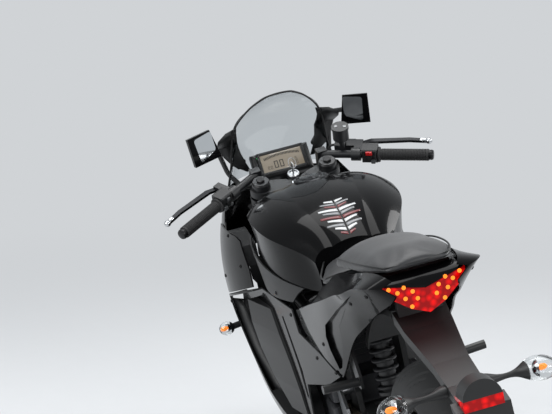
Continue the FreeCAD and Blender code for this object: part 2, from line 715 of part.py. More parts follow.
bar_end_x = -69
BAR = Placement(Vector(bar_end_x, size.bar_half, size.bar_height), Rotation(Z, 180 + size.bar_sweep))
sweep = math.radians(size.bar_sweep)
GRIP_LENGTH = (size.bar_half - size.grip_half) / math.cos(sweep)
clamp_top = size.top_yoke_z - 8
clamp_foot = clamp_top - 26
riser_y = size.fork_half
riser_reach = (size.bar_half - riser_y) / math.cos(sweep)
riser_x = bar_end_x + riser_reach * math.sin(sweep)
clamp = rod((fork_x, riser_y, clamp_foot), (fork_x, riser_y, clamp_top), size.outer_tube + 8)
foot = block((fork_x, riser_x + 13), (riser_y - 14, riser_y + 14), (clamp_foot, clamp_top))
riser = block((riser_x - 9, riser_x + 13), (riser_y - 14, riser_y + 14),
              (clamp_foot, size.bar_height + size.bar_radius + 3))
bar = rod((0, 0, 0), (0, riser_reach + 6, 0), size.bar_radius)
bar.Placement = BAR
clip_on = clamp.fuse([foot, riser, bar]).cut(
    rod((fork_x, riser_y, clamp_foot - 1), (fork_x, riser_y, size.fork_top + 20), size.outer_tube + 0.1))
clip_on = clip_on.cut(rod((fork_x, riser_y, size.top_yoke_z - 2),
                          (fork_x, riser_y, size.top_yoke_z + size.top_yoke_thick + 2),
                          size.outer_tube + 7.5))
steering.append(feature("clip_ons", both_sides(clip_on)))

grip_space = rod((0, 0, 0), (0, GRIP_LENGTH, 0), size.bar_radius + 0.1)
grip = rod((0, 0, 0), (0, GRIP_LENGTH, 0), size.grip_radius)
flange = rod((0, GRIP_LENGTH - 5, 0), (0, GRIP_LENGTH, 0), size.grip_radius + 5)
weight = rod((0, -14, 0), (0, -0.2, 0), size.grip_radius - 2)
grip = grip.fuse(flange).cut(grip_space).fuse(weight.fuse(rod((0, -0.2, 0), (0, 0.8, 0), size.grip_radius - 2)))
grip = grip.cut(rod((0, 0, 0), (0, 2, 0), size.bar_radius + 0.1))
grip.Placement = BAR
steering.append(feature("grips", both_sides(grip)))

switch_start = GRIP_LENGTH + 1
switch_end = switch_start + 44
housing = block((-24, 17), (switch_start, switch_end), (-19, 25))
housing = housing.makeFillet(7, [edge for edge in housing.Edges if edge.Length > 43.5])
pod = rod((8, (switch_start + switch_end) / 2, 2), (22, (switch_start + switch_end) / 2, 2), 7)
housing = housing.fuse(pod).cut(rod((0, switch_start - 1, 0), (0, switch_end + 1, 0), size.bar_radius + 0.1))
housing.Placement = BAR
steering.append(feature("switchgear", both_sides(housing)))

perch_start = switch_end + 4
perch_end = perch_start + 26
lever_pivot = (-46, perch_start + 8)
perch = rod((0, perch_start, 0), (0, perch_end, 0), 18)
perch = perch.fuse(block((-58, 0), (perch_start, perch_end - 4), (-12, 9)))
perch = perch.cut(rod((0, perch_start - 1, 0), (0, perch_end + 1, 0), size.bar_radius + 0.1))
lever_space = block((-64, -31), (perch_start - 2, perch_start + 17), (-6.2, 4.2))
perch = perch.cut(lever_space)
perch = perch.fuse(rod((lever_pivot[0], lever_pivot[1], -7), (lever_pivot[0], lever_pivot[1], 5), 4))
perch.Placement = BAR
master = block((-60, -28), (perch_end - 5, perch_end + 52), (-9, 9))
cup_z = 50
cup_place = (-6, perch_end + 26)
stay = block((-38, 2), (perch_end + 19, perch_end + 33), (20, 28)).fuse(
    [block((-38, -30), (perch_end + 19, perch_end + 33), (0, 28)),
     rod((cup_place[0], cup_place[1], 22), (cup_place[0], cup_place[1], cup_z), 7)])
cup = rod((cup_place[0], cup_place[1], cup_z), (cup_place[0], cup_place[1], cup_z + 32), 22)
lid = rod((cup_place[0], cup_place[1], cup_z + 32), (cup_place[0], cup_place[1], cup_z + 40), 24)
master = master.fuse([stay, cup, lid])
master.Placement = BAR
master = master.fuse(perch)
steering.append(feature("lever_perches", Part.makeCompound([perch, mirrored(master)])))

LEVER = (
    # ahead of the bar, distance in from the bar's end, half width
    (-46, perch_start + 14, 6.5),
    (-62, perch_start - 20, 7.5),
    (-70, 60, 6.5),
    (-66, 8, 5.5),
)
near = [Vector(x + half, y, -5) for x, y, half in LEVER]
far = [Vector(x - half, y, -5) for x, y, half in LEVER]
outline_points = near + far[::-1]
lever = Part.Face(Part.makePolygon(outline_points + outline_points[:1])).extrude(Vector(0, 0, 8))
ball = Part.makeSphere(8, Vector(LEVER[-1][0], LEVER[-1][1] - 2, -1))
lever = lever.fuse(ball)
lever = lever.cut(rod((lever_pivot[0], lever_pivot[1], -9), (lever_pivot[0], lever_pivot[1], 9), 4.2))
lever.Placement = BAR
steering.append(feature("levers", both_sides(lever)))

# Front brake hose: from the master cylinder down behind the fork to the caliper.

hose_start = BAR.multVec(Vector(-44, perch_end + 52, 0))
hose_top = Vector(hose_start.x, -hose_start.y, hose_start.z)
HOSE_ROUTE = (
    # ahead, across, along in the fork's frame
    (hose_top.x, hose_top.y, hose_top.z),
    (hose_top.x + 9, hose_top.y + 15, hose_top.z - 4),
    (108, -128, 950),
    (86, -128, 912),
    (74, -130, 860),
    (70, -131, 790),
    (68, -132, 700),
    (58, -135, 600),
    (20, -133, 520),
    (-20, -112, 462),
    (-46, -92, 428),
    (-58, -74, 414),
)
hose = tube(HOSE_ROUTE, 3.5, 60)
steering.append(feature("brake_hose", hose.cut(front_caliper).cut(mirrored(master))))

# Side stand: where its hinge lies, and the tab on the frame that holds it.

stand_pivot = Vector(size.stand_x, size.stand_y, size.stand_z)
up_in_bike = CHASSIS_POSE.Rotation.inverted().multVec(Z)
foot_flat = Vector(size.stand_foot_x, size.stand_foot_y, 0)
stand_foot = foot_flat - Z * (CHASSIS_POSE.multVec(foot_flat).z / up_in_bike.z)
DEPLOYED = (stand_foot + up_in_bike * 8 - stand_pivot).normalize()
FOLDED = Vector(-0.97, 0.2, 0.12).normalize()
swing = (DEPLOYED - FOLDED).normalize()
STAND_AXIS = (Y - swing * Y.dot(swing)).normalize()
tab_half = 4.5
tab_round = 17
tab_top = 46
pin_radius = 6
TAB = Placement(stand_pivot, Rotation(Z.cross(STAND_AXIS), Vector(), STAND_AXIS, "ZXY"))


def hinge_plate(start, thick, half_width, reach):
    """Plate on the stand's hinge axis: round under the pin, straight up to its reach."""
    edges = [
        Part.Arc(Vector(-half_width, 0, start), Vector(0, -half_width, start), Vector(half_width, 0, start)).toShape(),
        Part.LineSegment(Vector(half_width, 0, start), Vector(half_width, reach, start)).toShape(),
        Part.LineSegment(Vector(half_width, reach, start), Vector(-half_width, reach, start)).toShape(),
        Part.LineSegment(Vector(-half_width, reach, start), Vector(-half_width, 0, start)).toShape(),
    ]
    return Part.Face(Part.Wire(edges)).extrude(Vector(0, 0, thick))


tab = hinge_plate(-tab_half, 2 * tab_half, tab_round, tab_top)
tab = tab.cut(rod((0, 0, -2 * tab_half), (0, 0, 2 * tab_half), pin_radius + size.gap))
tab.Placement = TAB
holder_end = TAB.multVec(Vector(0, tab_top - 10, 0))
holder_arm = rod((holder_end.x - 12, size.plate_outer - 6, holder_end.z + 12), holder_end, 10)
drop_plate = side_plate(((-150, 330), (-88, 330), (-80, 262), (-92, 244), (-124, 244)),
                        size.plate_outer - size.plate_thick, size.plate_outer)
stand_holder = tab.fuse([holder_arm, drop_plate])

# Main frame: head tube, two rails a side, and the plates that hold the swingarm.

head_foot = size.lower_yoke_z + size.lower_yoke_thick + size.gap
head_end = size.top_yoke_z - size.gap
head_tube = rod(on_head(0, 0, head_foot), on_head(0, 0, head_end), size.head_radius)
head_bore = rod(on_head(0, 0, head_foot - 2), on_head(0, 0, head_end + 2), size.stem_radius + size.gap)
plate_inner = size.plate_outer - size.plate_thick
rail_y = 128
joint_x, joint_z = 60, 648
upper_start = on_head(-6, 18, head_end - 84)
lower_start = on_head(-6, 18, head_foot + 30)
UPPER_RAIL = (
    tuple(upper_start), (250, 96, 752), (joint_x, rail_y, joint_z), (-40, 108, 590), (-112, 70, 560),
)
LOWER_RAIL = (
    tuple(lower_start), (330, 96, 668), (200, 118, 640), (joint_x - 10, rail_y - 2, joint_z - 6),
)
upper_rail = tube(UPPER_RAIL, size.frame_tube, 60)
lower_rail = tube(LOWER_RAIL, size.frame_tube - 2, 60)
brace = rod((250, 96, 752), (214, 115, 642), 10)
PLATE = (
    # x, z
    (-165, 330), (-150, 300), (-88, 300), (-72, 330), (-70, 470), (-82, 590), (-130, 600),
    (-212, 672), (-226, 660), (-222, 636), (-150, 560), (-148, 430),
)
plate = side_plate(PLATE, plate_inner, size.plate_outer)
shock_top = (-200, 0, 650)
hanger = tube(((318, 100, 660), (300, 104, 600), (284, 104, 500)), 9, 30)
half_frame = upper_rail.fuse([lower_rail, brace, plate, hanger])
cross_high = rod((shock_top[0], -size.plate_outer, shock_top[2]),
                 (shock_top[0], size.plate_outer, shock_top[2]), 11)
cross_mid = rod((-100, -size.plate_outer, 566), (-100, size.plate_outer, 566), 12)
cross_low = rod((-118, -size.plate_outer, 316), (-118, size.plate_outer, 316), 11)
pivot_hole = Part.makeCylinder(size.axle_radius + 0.1, 400, Vector(size.pivot_x, -200, size.pivot_z), Y)
main_frame = head_tube.fuse([half_frame, mirrored(half_frame), cross_high, cross_mid, cross_low, stand_holder])
main_frame = main_frame.cut(head_bore).cut(pivot_hole)
chassis.append(feature("main_frame", main_frame))

# Seat frame, bolted to the outside of the plates.

SEAT_RAIL = ((-152, 90, 590), (-204, 94, 664), (-300, 96, 758), (-500, 88, 806), (-726, 60, 834))
SEAT_STRUT = ((-176, 90, 618), (-300, 94, 690), (-470, 90, 800))
bolts = [rod((x, size.plate_outer, z), (x, size.plate_outer + 14, z), 11) for x, z in
         ((-152, 590), (-200, 652))]
half_seat = tube(SEAT_RAIL, size.seat_tube, 90)
half_seat = half_seat.fuse([tube(SEAT_STRUT, size.seat_tube - 2, 60)] + bolts)
cross_seats = [rod((x, -y, z), (x, y, z), size.seat_tube - 2) for x, y, z in
               ((-300, 96, 758), (-500, 88, 806), (-726, 60, 834))]
chassis.append(feature("seat_frame", half_seat.fuse([mirrored(half_seat)] + cross_seats)))

# Engine: crankcase with covers, sump, and two cylinders leaning forward under the head.

ENGINE_BASE = Vector(140, 0, 405)
ENGINE_TILT = 20
cylinder_half = 100


def filleted(shape, radius, longer_than):
    """Round every edge that is longer than a length."""
    return shape.makeFillet(radius, [edge for edge in shape.Edges if edge.Length > longer_than])


crankcase = filleted(block((-62, 262), (-118, 118), (232, 430)), 16, 100)
rear_lug = block((-96, -50), (-plate_inner, plate_inner), (388, 450))
sump = filleted(block((20, 210), (-62, 62), (180, 250)), 12, 120)
COVERS = (
    # x, z, radius, side, inner and outer distance from the middle
    (62, 318, 86, RIGHT, 112, 140),
    (62, 318, 62, RIGHT, 138, 150),
    (186, 306, 70, LEFT, 112, 146),
    (186, 306, 48, LEFT, 144, 158),
    (176, 270, 36, RIGHT, 112, 140),
)
covers = [Part.makeCylinder(radius, far - near, Vector(x, near if side == LEFT else -far, z), Y)
          for x, z, radius, side, near, far in COVERS]
jug = filleted(block((-72, 72), (-cylinder_half, cylinder_half), (-10, 120)), 10, 125)
fins = [block((-77, 77), (-cylinder_half - 2, cylinder_half + 2), (z, z + 4)) for z in range(24, 110, 14)]
head = filleted(block((-78, 78), (-cylinder_half - 2, cylinder_half + 2), (116, 186)), 8, 60)
rocker_cover = filleted(block((-66, 66), (-cylinder_half + 4, cylinder_half - 4), (184, 222)), 14, 60)
plugs = [rod((x, y, 220), (x, y, 232), 13) for x, y in ((0, 44), (0, -44))]
ports = [rod((70, y, 150), (96, y, 140), 21) for y in (44, -44)]
inlets = [rod((-70, y, 150), (-112, y, 168), 22) for y in (44, -44)]
top_end = jug.fuse(fins + [head, rocker_cover] + plugs + ports + inlets)
top_end.Placement = Placement(ENGINE_BASE, Rotation(Y, ENGINE_TILT))
mount_bosses = both_sides(block((236, 292), (92, 112), (492, 516)))
sprocket_room = block((size.drive_x - 58, size.drive_x + 52), (size.chain_line - 20, 130),
                      (size.drive_z - 52, size.drive_z + 52))
sprocket_cover = filleted(block((size.drive_x - 34, size.drive_x + 66), (102, 126),
                                (size.drive_z - 46, size.drive_z + 46)), 10, 60)
engine = crankcase.fuse([rear_lug, sump, top_end] + covers).cut(sprocket_room)
engine = engine.fuse([sprocket_cover, mount_bosses, drive_sprocket, output_shaft])
engine = engine.cut(main_frame)
chassis.append(feature("engine", engine))

# Exhaust: two header pipes, a collector under the engine, and the silencer on the right.


def on_top_end(x, y, z):
    """Point of the upright bike given on the leaning cylinders."""
    return tuple(ENGINE_BASE + Rotation(Y, ENGINE_TILT).multVec(Vector(x, y, z)))


HEADERS = (
    (on_top_end(97, 44, 140), on_top_end(120, 44, 128), (344, 34, 440), (338, -8, 290), (290, -60, 212),
     (180, -90, 203)),
    (on_top_end(97, -44, 140), on_top_end(120, -44, 128), (348, -52, 440), (344, -88, 290),
     (290, -106, 212), (180, -100, 203)),
)
headers = [tube(route, 17, 70) for route in HEADERS]
COLLECTOR = ((182, -95, 203), (0, -97, 203), (-120, -118, 206), (-236, -172, 228), (-300, -190, 246))
collector = tube(COLLECTOR, 22, 120)
swell = rod((110, -96, 203), (0, -97, 203), 25)

SILENCER = (
    # x, y, z, half width, half height
    (-301, -190, 246.4, 26, 27),
    (-345, -196, 258, 42, 50),
    (-410, -202, 276, 48, 60),
    (-560, -206, 320, 48, 62),
    (-606, -206, 334, 40, 52),
)


def oval(x, y, z, half_width, half_height):
    """Oval wire across the bike's length."""
    curve = Part.Ellipse(Vector(x, y, z + half_height), Vector(x, y + half_width, z), Vector(x, y, z))
    return Part.Wire([curve.toShape()])


silencer = loft([oval(*row) for row in SILENCER])
outlet = rod((-560, -206, 320), (-624, -206, 339), 22)
silencer = silencer.cut(outlet)
exhaust = headers[0].fuse([headers[1], collector, swell]).cut(engine).cut(silencer)
chassis.append(feature("exhaust_pipe", exhaust))
chassis.append(feature("muffler", silencer))

# Radiator ahead of the engine: a finned core between side tanks.

RADIATOR_TILT = 9.5
radiator_high = 200
core_box = block((-24, 0), (-128, 128), (0, radiator_high))
tanks = both_sides(filleted(block((-27, 3), (126, 154), (0, radiator_high)), 8, radiator_high - 20))
filler = rod((-12, 60, radiator_high - 2), (-12, 60, radiator_high + 16), 14)
radiator = core_box.fuse([tanks, filler])
tabs = both_sides(block((-60, -12), (100, 108), (radiator_high - 26, radiator_high - 8)))
radiator = radiator.fuse(tabs)
radiator.Placement = Placement(Vector(400, 0, 414), Rotation(Y, RADIATOR_TILT))
radiator = radiator.cut(main_frame)
chassis.append(feature("radiator", radiator))

# Swingarm with the rear axle, spacers and chain adjusters.

ARM = (
    # x, inner y, outer y, lower z, upper z
    (size.pivot_x - 12, 34, plate_inner - size.gap, 342, 388),
    (size.pivot_x - 60, 34, plate_inner - size.gap, 336, 380),
    (size.pivot_x - 175, 76, 102, 320, 366),
    (size.pivot_x - 275, size.arm_half - 13, size.arm_half + 12, 306, 358),
    (REAR_AXLE.x + 70, size.arm_half - 13, size.arm_half + 13, 295, 341),
)
ARM_END = ((REAR_AXLE.x + 70, 295), (REAR_AXLE.x - 46, 292), (REAR_AXLE.x - 46, 336), (REAR_AXLE.x + 70, 341))


def box_section(x, y_low, y_high, z_low, z_high):
    """Rectangle across the bike's length."""
    corners = [Vector(x, y_low, z_low), Vector(x, y_high, z_low),
               Vector(x, y_high, z_high), Vector(x, y_low, z_high)]
    return Part.makePolygon(corners + corners[:1])


spans = [loft([box_section(*first), box_section(*second)], True) for first, second in zip(ARM, ARM[1:])]
arm_end_plate = side_plate(ARM_END, size.arm_half - 13, size.arm_half + 13)
arm = spans[0].fuse(spans[1:] + [arm_end_plate])
pivot_tube = Part.makeCylinder(size.pivot_radius, 2 * (plate_inner - size.gap),
                               Vector(size.pivot_x, -plate_inner + size.gap, size.pivot_z), Y)
cross = block((size.pivot_x - 130, size.pivot_x - 66), (-66, 66), (326, 368))
lug_place = Vector(-226, 0, 392)
lugs = both_sides(block((lug_place.x - 14, lug_place.x + 14), (18, 27), (350, lug_place.z + 14)))
lower_pin = Part.makeCylinder(7, 60, lug_place + Vector(0, -30, 0), Y)
arm_end = size.arm_half + 13
axle_rod = Part.makeCylinder(size.axle_radius, 2 * arm_end + 24,
                             REAR_AXLE - Vector(0, arm_end + 12, 0), Y)
axle_nuts = [Part.makeCylinder(15, 11, REAR_AXLE + Vector(0, place, 0), Y) for place in
             (-arm_end - 11, arm_end)]
sprocket_face = size.chain_line + size.sprocket_thick / 2
disc_face = size.rear_disc_offset + size.disc_thick / 2
arm_inner = size.arm_half - 13
spacers = [
    Part.makeCylinder(16, arm_inner - sprocket_face, REAR_AXLE + Vector(0, sprocket_face + size.gap, 0), Y),
    Part.makeCylinder(16, arm_inner - disc_face, REAR_AXLE - Vector(0, arm_inner, 0), Y),
]
spacers[1] = spacers[1].cut(block((-900, 0), (-disc_face - size.gap, 0), (0, 600)))
adjusters = [block((REAR_AXLE.x - 58, REAR_AXLE.x - 44), (side * (size.arm_half - 9), side * (size.arm_half + 9)),
                   (300, 330)) for side in (LEFT, RIGHT)]
swingarm = arm.fuse([mirrored(arm), pivot_tube, cross]).fuse([lugs, lower_pin])
swingarm = swingarm.fuse([axle_rod] + axle_nuts).fuse(spacers).fuse(adjusters)
pivot_bolt = Part.makeCylinder(size.axle_radius, 2 * plate_inner,
                               Vector(size.pivot_x, -plate_inner, size.pivot_z), Y)
swingarm = swingarm.cut(pivot_bolt)
bobbin_holes = [Part.makeCylinder(4, 40, Vector(REAR_AXLE.x + 46, place, 316), Y) for place in
                (-arm_end - 1, arm_end - 39)]
for hole in bobbin_holes:
    swingarm = swingarm.cut(hole)
chassis.append(feature("swingarm", swingarm))

# Rear brake caliper over the disc, above the right arm.

rear_caliper = caliper(-size.rear_disc_offset, size.rear_disc_radius, 18.5, 80, 50)
rear_caliper.Placement = Placement(REAR_AXLE, Rotation(Y, 118))
hanger_plate = side_plate(
    ((-730, 342), (-705, 296), (-660, 296), (-600, 352), (-610, 400), (-650, 408)),
    -arm_inner + 0.0, -arm_inner + 7)
rear_caliper = rear_caliper.fuse(hanger_plate).cut(swingarm)
chassis.append(feature("rear_caliper", rear_caliper))

# Shock absorber from the swingarm to the frame's cross tube.

foot_point = lug_place
top_point = Vector(*shock_top)
line = (top_point - foot_point)
direction = Vector(line).normalize()


def along_shock(distance):
    """Point on the damper's axis."""
    return foot_point + direction * distance


COIL_COUNT = 7
spring_start, spring_end = 48, 206
damper = rod(along_shock(0), along_shock(line.Length), 14)
sleeve = rod(along_shock(spring_start - 6), along_shock(spring_end + 6), 22)
seats = [rod(along_shock(spring_start - 10), along_shock(spring_start - 2), 33),
         rod(along_shock(spring_end + 2), along_shock(spring_end + 12), 33)]
coils = [Part.makeTorus(27, 5.5, along_shock(spring_start + 8 + (spring_end - spring_start - 16) * turn
                                             / (COIL_COUNT - 1)), direction) for turn in range(COIL_COUNT)]
eyes = [Part.makeCylinder(17, 32, foot_point - Vector(0, 16, 0), Y),
        Part.makeCylinder(20, 32, top_point - Vector(0, 16, 0), Y)]
shock = damper.fuse([sleeve] + seats + coils + eyes)
shock = shock.cut(Part.makeCylinder(7.1, 80, foot_point - Vector(0, 40, 0), Y))
shock = shock.cut(Part.makeCylinder(11.1, 80, top_point - Vector(0, 40, 0), Y))
chassis.append(feature("rear_shock", shock))

# Side stand: a leg with a pad that lies flat on the ground, between two cheeks round the tab.

cheek_thick = 6
cheek_inner = tab_half + size.gap
LEG = Placement(stand_pivot, Rotation(DEPLOYED.cross(STAND_AXIS), Vector(), STAND_AXIS, "ZXY"))
cheeks = [hinge_plate(start, cheek_thick, 13, 44) for start in (cheek_inner, -cheek_inner - cheek_thick)]
bridge = block((-12, 12), (21, 44), (-cheek_inner, cheek_inner))
stand_pin = rod((0, 0, -tab_half - 8), (0, 0, tab_half + 8), pin_radius)
hinge_end = bridge.fuse([stand_pin] + cheeks)
hinge_end.Placement = LEG
leg = rod(LEG.multVec(Vector(0, 32, 0)), stand_foot + up_in_bike * 8, size.stand_radius)
pad_plate = Part.makeCylinder(24, 7, stand_foot, up_in_bike)
prong = rod(stand_pivot + DEPLOYED * 150, stand_pivot + DEPLOYED * 150 + Vector(-38, 22, 4), 5)
side_stand.append(feature("side_stand", hinge_end.fuse([leg, pad_plate, prong])))

# Foot rests: plates outside the chain, pegs and pedals.

bracket_y = size.chain_line + size.chain_half + 7
REST_PLATE = (
    (-96, 448), (-124, 448), (-168, 400), (-196, 330), (-188, 304), (-160, 300), (-120, 316), (-96, 400),
)
rest_plate = side_plate(REST_PLATE, bracket_y, bracket_y + 7)
rest_bosses = [rod((-110, size.plate_outer, 430), (-110, bracket_y, 430), 10),
               rod((-135, size.plate_outer, 326), (-135, bracket_y, 326), 8)]
peg_mount = block((-192, -162), (bracket_y + 7, bracket_y + 28), (304, 334))
peg = rod((-177, bracket_y + 26, 319), (-180, bracket_y + 118, 323), 12)
rest = rest_plate.fuse(rest_bosses + [peg_mount, peg])
shift_pivot = rod((-168, bracket_y + 7, 308), (-168, bracket_y + 16, 308), 9)
pedal = tube(((-168, bracket_y + 12, 306), (-104, bracket_y + 23, 276), (-30, bracket_y + 27, 274)), 6, 60)
toe = rod((-30, bracket_y + 25, 274), (-30, bracket_y + 56, 274), 9)
rest = rest.fuse([shift_pivot, pedal, toe])
chassis.append(feature("foot_rests", both_sides(rest)))

PASSENGER_PLATE = ((-290, 746), (-322, 750), (-352, 700), (-440, 560), (-436, 530), (-408, 528), (-320, 650),
                   (-296, 700))
passenger_plate = side_plate(PASSENGER_PLATE, 108, 115)
passenger_bosses = [rod((-302, 96, 742), (-302, 109, 742), 12), rod((-322, 94, 704), (-322, 109, 704), 8)]
passenger_peg = rod((-424, 112, 546), (-427, 205, 552), 11)
passenger_rest = passenger_plate.fuse(passenger_bosses + [passenger_peg])
seat_frame = next(piece for piece in chassis if piece.Label == "seat_frame").Shape
chassis.append(feature("passenger_rests", both_sides(passenger_rest).cut(seat_frame)))

# Fuel tank: a wide shouldered shell that narrows to the rider's knees, on two rubbers.

TANK = (
    # x, top, half top, shoulder height, half shoulder, foot height, half foot
    (322, 858, 40, 838, 92, 796, 86),
    (286, 886, 60, 856, 138, 788, 128),
    (215, 906, 78, 866, 184, 778, 172),
    (118, 908, 84, 860, 197, 748, 184),
    (10, 892, 78, 838, 182, 724, 164),
    (-78, 860, 62, 812, 138, 708, 128),
    (-146, 812, 52, 782, 104, 706, 100),
)


def tank_section(x, top, half_top, shoulder, half_shoulder, foot, half_foot):
    """Closed section: flat foot, bulging sides, shoulders and a domed top."""
    crown = 10
    points = [Vector(x, -half_foot, foot), Vector(x, half_foot, foot), Vector(x, half_shoulder, shoulder),
              Vector(x, half_top, top), Vector(x, -half_top, top), Vector(x, -half_shoulder, shoulder)]
    side_out = (half_foot + half_shoulder) / 2 - 3
    mid_side = (foot + shoulder) / 2
    mid_top = (half_top + half_shoulder) / 2
    arcs = {
        1: Vector(x, side_out, mid_side),
        2: Vector(x, mid_top + 8, (top + shoulder) / 2 + 10),
        3: Vector(x, 0, top + crown),
        4: Vector(x, -mid_top - 8, (top + shoulder) / 2 + 10),
        5: Vector(x, -side_out, mid_side),
    }
    return section(points, arcs)


tank = loft([tank_section(*row) for row in TANK])
rubbers = both_sides(block((236, 264), (86, 106), (745, 800)))
tank_feet = rubbers.cut(main_frame).cut(block((200, 300), (-200, 200), (700, 752)))
filler_cap = Part.makeCylinder(38, 9, Vector(206, 0, 912), Vector(0.02, 0, 1))
fuel_tank = tank.fuse([tank_feet, filler_cap])
chassis.append(feature("fuel_tank", fuel_tank))

# Plastic covers under the tank's flanks, down to the frame rails.


def arc_inside(points, thick):
    """Three points of an arc moved towards its centre."""
    centre = Part.Arc(*points).toShape().Curve.Center
    return [point + (centre - point).normalize() * thick for point in points]


def strip_section(z, corners, thick):
    """Closed strip in plan along an arc through three (x, y) corners."""
    outer = [Vector(x, y, z) for x, y in corners]
    inner = arc_inside(outer, thick)
    return Part.Wire([
        Part.Arc(*outer).toShape(),
        Part.LineSegment(outer[2], inner[2]).toShape(),
        Part.Arc(inner[2], inner[1], inner[0]).toShape(),
        Part.LineSegment(inner[0], outer[0]).toShape(),
    ])


def curved_panel(rows, thick, profile):
    """Left panel: strips at several heights lofted, then trimmed to its side view."""
    skin = loft([strip_section(z, corners, thick) for z, corners in rows])
    return skin.common(side_plate(profile, 20, 400))


TRIM_ROWS = (
    (560, ((330, 150), (120, 168), (-110, 104))),
    (680, ((330, 158), (120, 184), (-110, 108))),
    (800, ((330, 170), (120, 200), (-110, 112))),
)
TRIM_PROFILE = ((300, 786), (215, 772), (118, 744), (10, 720), (-70, 706), (-40, 689), (-4, 661), (150, 656),
                (270, 664), (296, 730))
trim = curved_panel(TRIM_ROWS, size.panel, TRIM_PROFILE)
trim_inside = loft([strip_section(z, corners, 90) for z, corners in TRIM_ROWS])
trim_peg = rod((84, rail_y - 8, 672), (84, 200, 672), 6).common(trim_inside).cut(main_frame)
trim = trim.fuse(largest(trim_peg))
chassis.append(feature("tank_trims", both_sides(trim)))

# Seats: the rider's low saddle and the passenger's raised pad.


def seat_section(x, top, half, base, crown, edge):
    """Padded section: flat base, upright edge, domed top."""
    points = [Vector(x, -half, base), Vector(x, half, base), Vector(x, half, base + edge),
              Vector(x, -half, base + edge)]
    return section(points, {2: Vector(x, 0, top)})


RIDER_SEAT = (
    # x, top, half width, base
    (-112, 806, 70, 744),
    (-170, 788, 92, 752),
    (-260, 782, 122, 758),
    (-340, 796, 128, 772),
    (-376, 812, 120, 784),
)
rider_seat = loft([seat_section(x, top, half, base, 0, (top - base) * 0.55)
                   for x, top, half, base in RIDER_SEAT])
PASSENGER_SEAT = (
    (-340, 838, 62, 808),
    (-380, 862, 98, 818),
    (-500, 892, 112, 842),
    (-640, 908, 108, 862),
    (-760, 916, 88, 880),
    (-792, 906, 70, 882),
)
passenger_seat = loft([seat_section(x, top, half, base, 0, (top - base) * 0.5)
                       for x, top, half, base in PASSENGER_SEAT])

# Tail: cowls beside and under the passenger's pad, running back to the lamp.

TAIL = (
    # x, deck, half deck, rim height, half rim, keel height, half keel
    (14, 660, 118, 634, 152, 540, 148),
    (-120, 694, 104, 674, 156, 520, 145),
    (-280, 758, 122, 722, 157, 510, 136),
    (-440, 822, 108, 770, 156, 628, 123),
    (-580, 850, 112, 812, 154, 714, 112),
    (-700, 878, 104, 848, 151, 776, 98),
    (-770, 886, 92, 866, 144, 806, 88),
    (-806, 884, 84, 868, 128, 826, 78),
    (-822, 878, 76, 866, 104, 840, 74),
)
COWL_FRONT = ((-14, 980), (-14, 643), (-32, 589), (-180, 571), (-322, 541), (-340, 400), (-860, 400), (-860, 980))
GROOVE = (
    # x, z round the dark groove, front edge down and rear edge up
    (-690, 832), (-495, 752), (-338, 678), (-304, 640), (-302, 604), (-322, 556), (-346, 566), (-412, 641),
    (-452, 704), (-560, 768),
)
groove_depth = 8


def cowl_section(x, deck, half_deck, rim, half_rim, keel, half_keel, outside=0, thick=size.panel):
    """Left half of the tail as a bent strip: in under the seat, out to the rim, down to the keel."""
    out = outside
    back = outside - thick
    return section([
        Vector(x, half_keel + out, keel), Vector(x, half_rim + 1.4 * out, rim + 0.2 * out),
        Vector(x, half_deck + 0.4 * out, deck + out), Vector(x, half_deck + 0.4 * back, deck + back),
        Vector(x, half_rim + 1.4 * back, rim + 0.2 * back), Vector(x, half_keel + back, keel),
    ])


def side_prism(points, inner, outer, margin=0):
    """Solid across the left side of the bike from a closed side view, spread by a margin."""
    face = Part.Face(Part.makePolygon([Vector(x, inner, z) for x, z in points + points[:1]]))
    if margin:
        face = face.makeOffset2D(margin)
    return face.extrude(Vector(0, outer - inner, 0))


cowl = loft([cowl_section(*row) for row in TAIL]).common(side_plate(COWL_FRONT, 0.3, 260))
groove_outer = loft([cowl_section(*row, thick=groove_depth + size.panel) for row in TAIL[1:7]])
groove_inner = loft([cowl_section(*row, outside=2, thick=groove_depth + 2) for row in TAIL[1:7]])
groove_space = side_prism(GROOVE, 60, 260)
channel = groove_outer.common(side_prism(GROOVE, 60, 260, 3)).cut(groove_inner.common(groove_space))
cowl = cowl.cut(groove_space).fuse(channel)
cowl = cowl.cut(rider_seat).cut(passenger_seat).cut(seat_frame)
chassis.append(feature("rider_seat", rider_seat.cut(seat_frame).cut(fuel_tank)))
chassis.append(feature("passenger_seat", passenger_seat))

# Tail lamp: a wide vee of red lens across the tail's end.

LAMP_VEE = (
    # y, z on the rear face
    (0, 838), (34, 846), (96, 862), (94, 842), (40, 800), (0, 782),
)
vee = [Vector(-900, y, z) for y, z in LAMP_VEE] + [Vector(-900, -y, z) for y, z in LAMP_VEE[-2:0:-1]]
vee_face = Part.Face(Part.makePolygon(vee + vee[:1]))
tail_lamp = vee_face.extrude(Vector(240, 0, 0)).common(block((-808, -742), (-120, 120), (700, 900)))
cowl = largest(cowl.cut(tail_lamp))
chassis.append(feature("tail_cowl_left", cowl))
chassis.append(feature("tail_cowl_right", mirrored(cowl)))
chassis.append(feature("tail_lamp", tail_lamp))

# Inner mudguard under the tail, and the carrier for the number plate.

inner_guard = arched_guard(REAR_AXLE, 455, 3, 62, 40, 89, 16)
guard_ears = both_sides(block((-512, -488), (60, 88), (716, 808)))
inner_guard = inner_guard.fuse(guard_ears).cut(seat_frame)
chassis.append(feature("inner_mudguard", inner_guard))

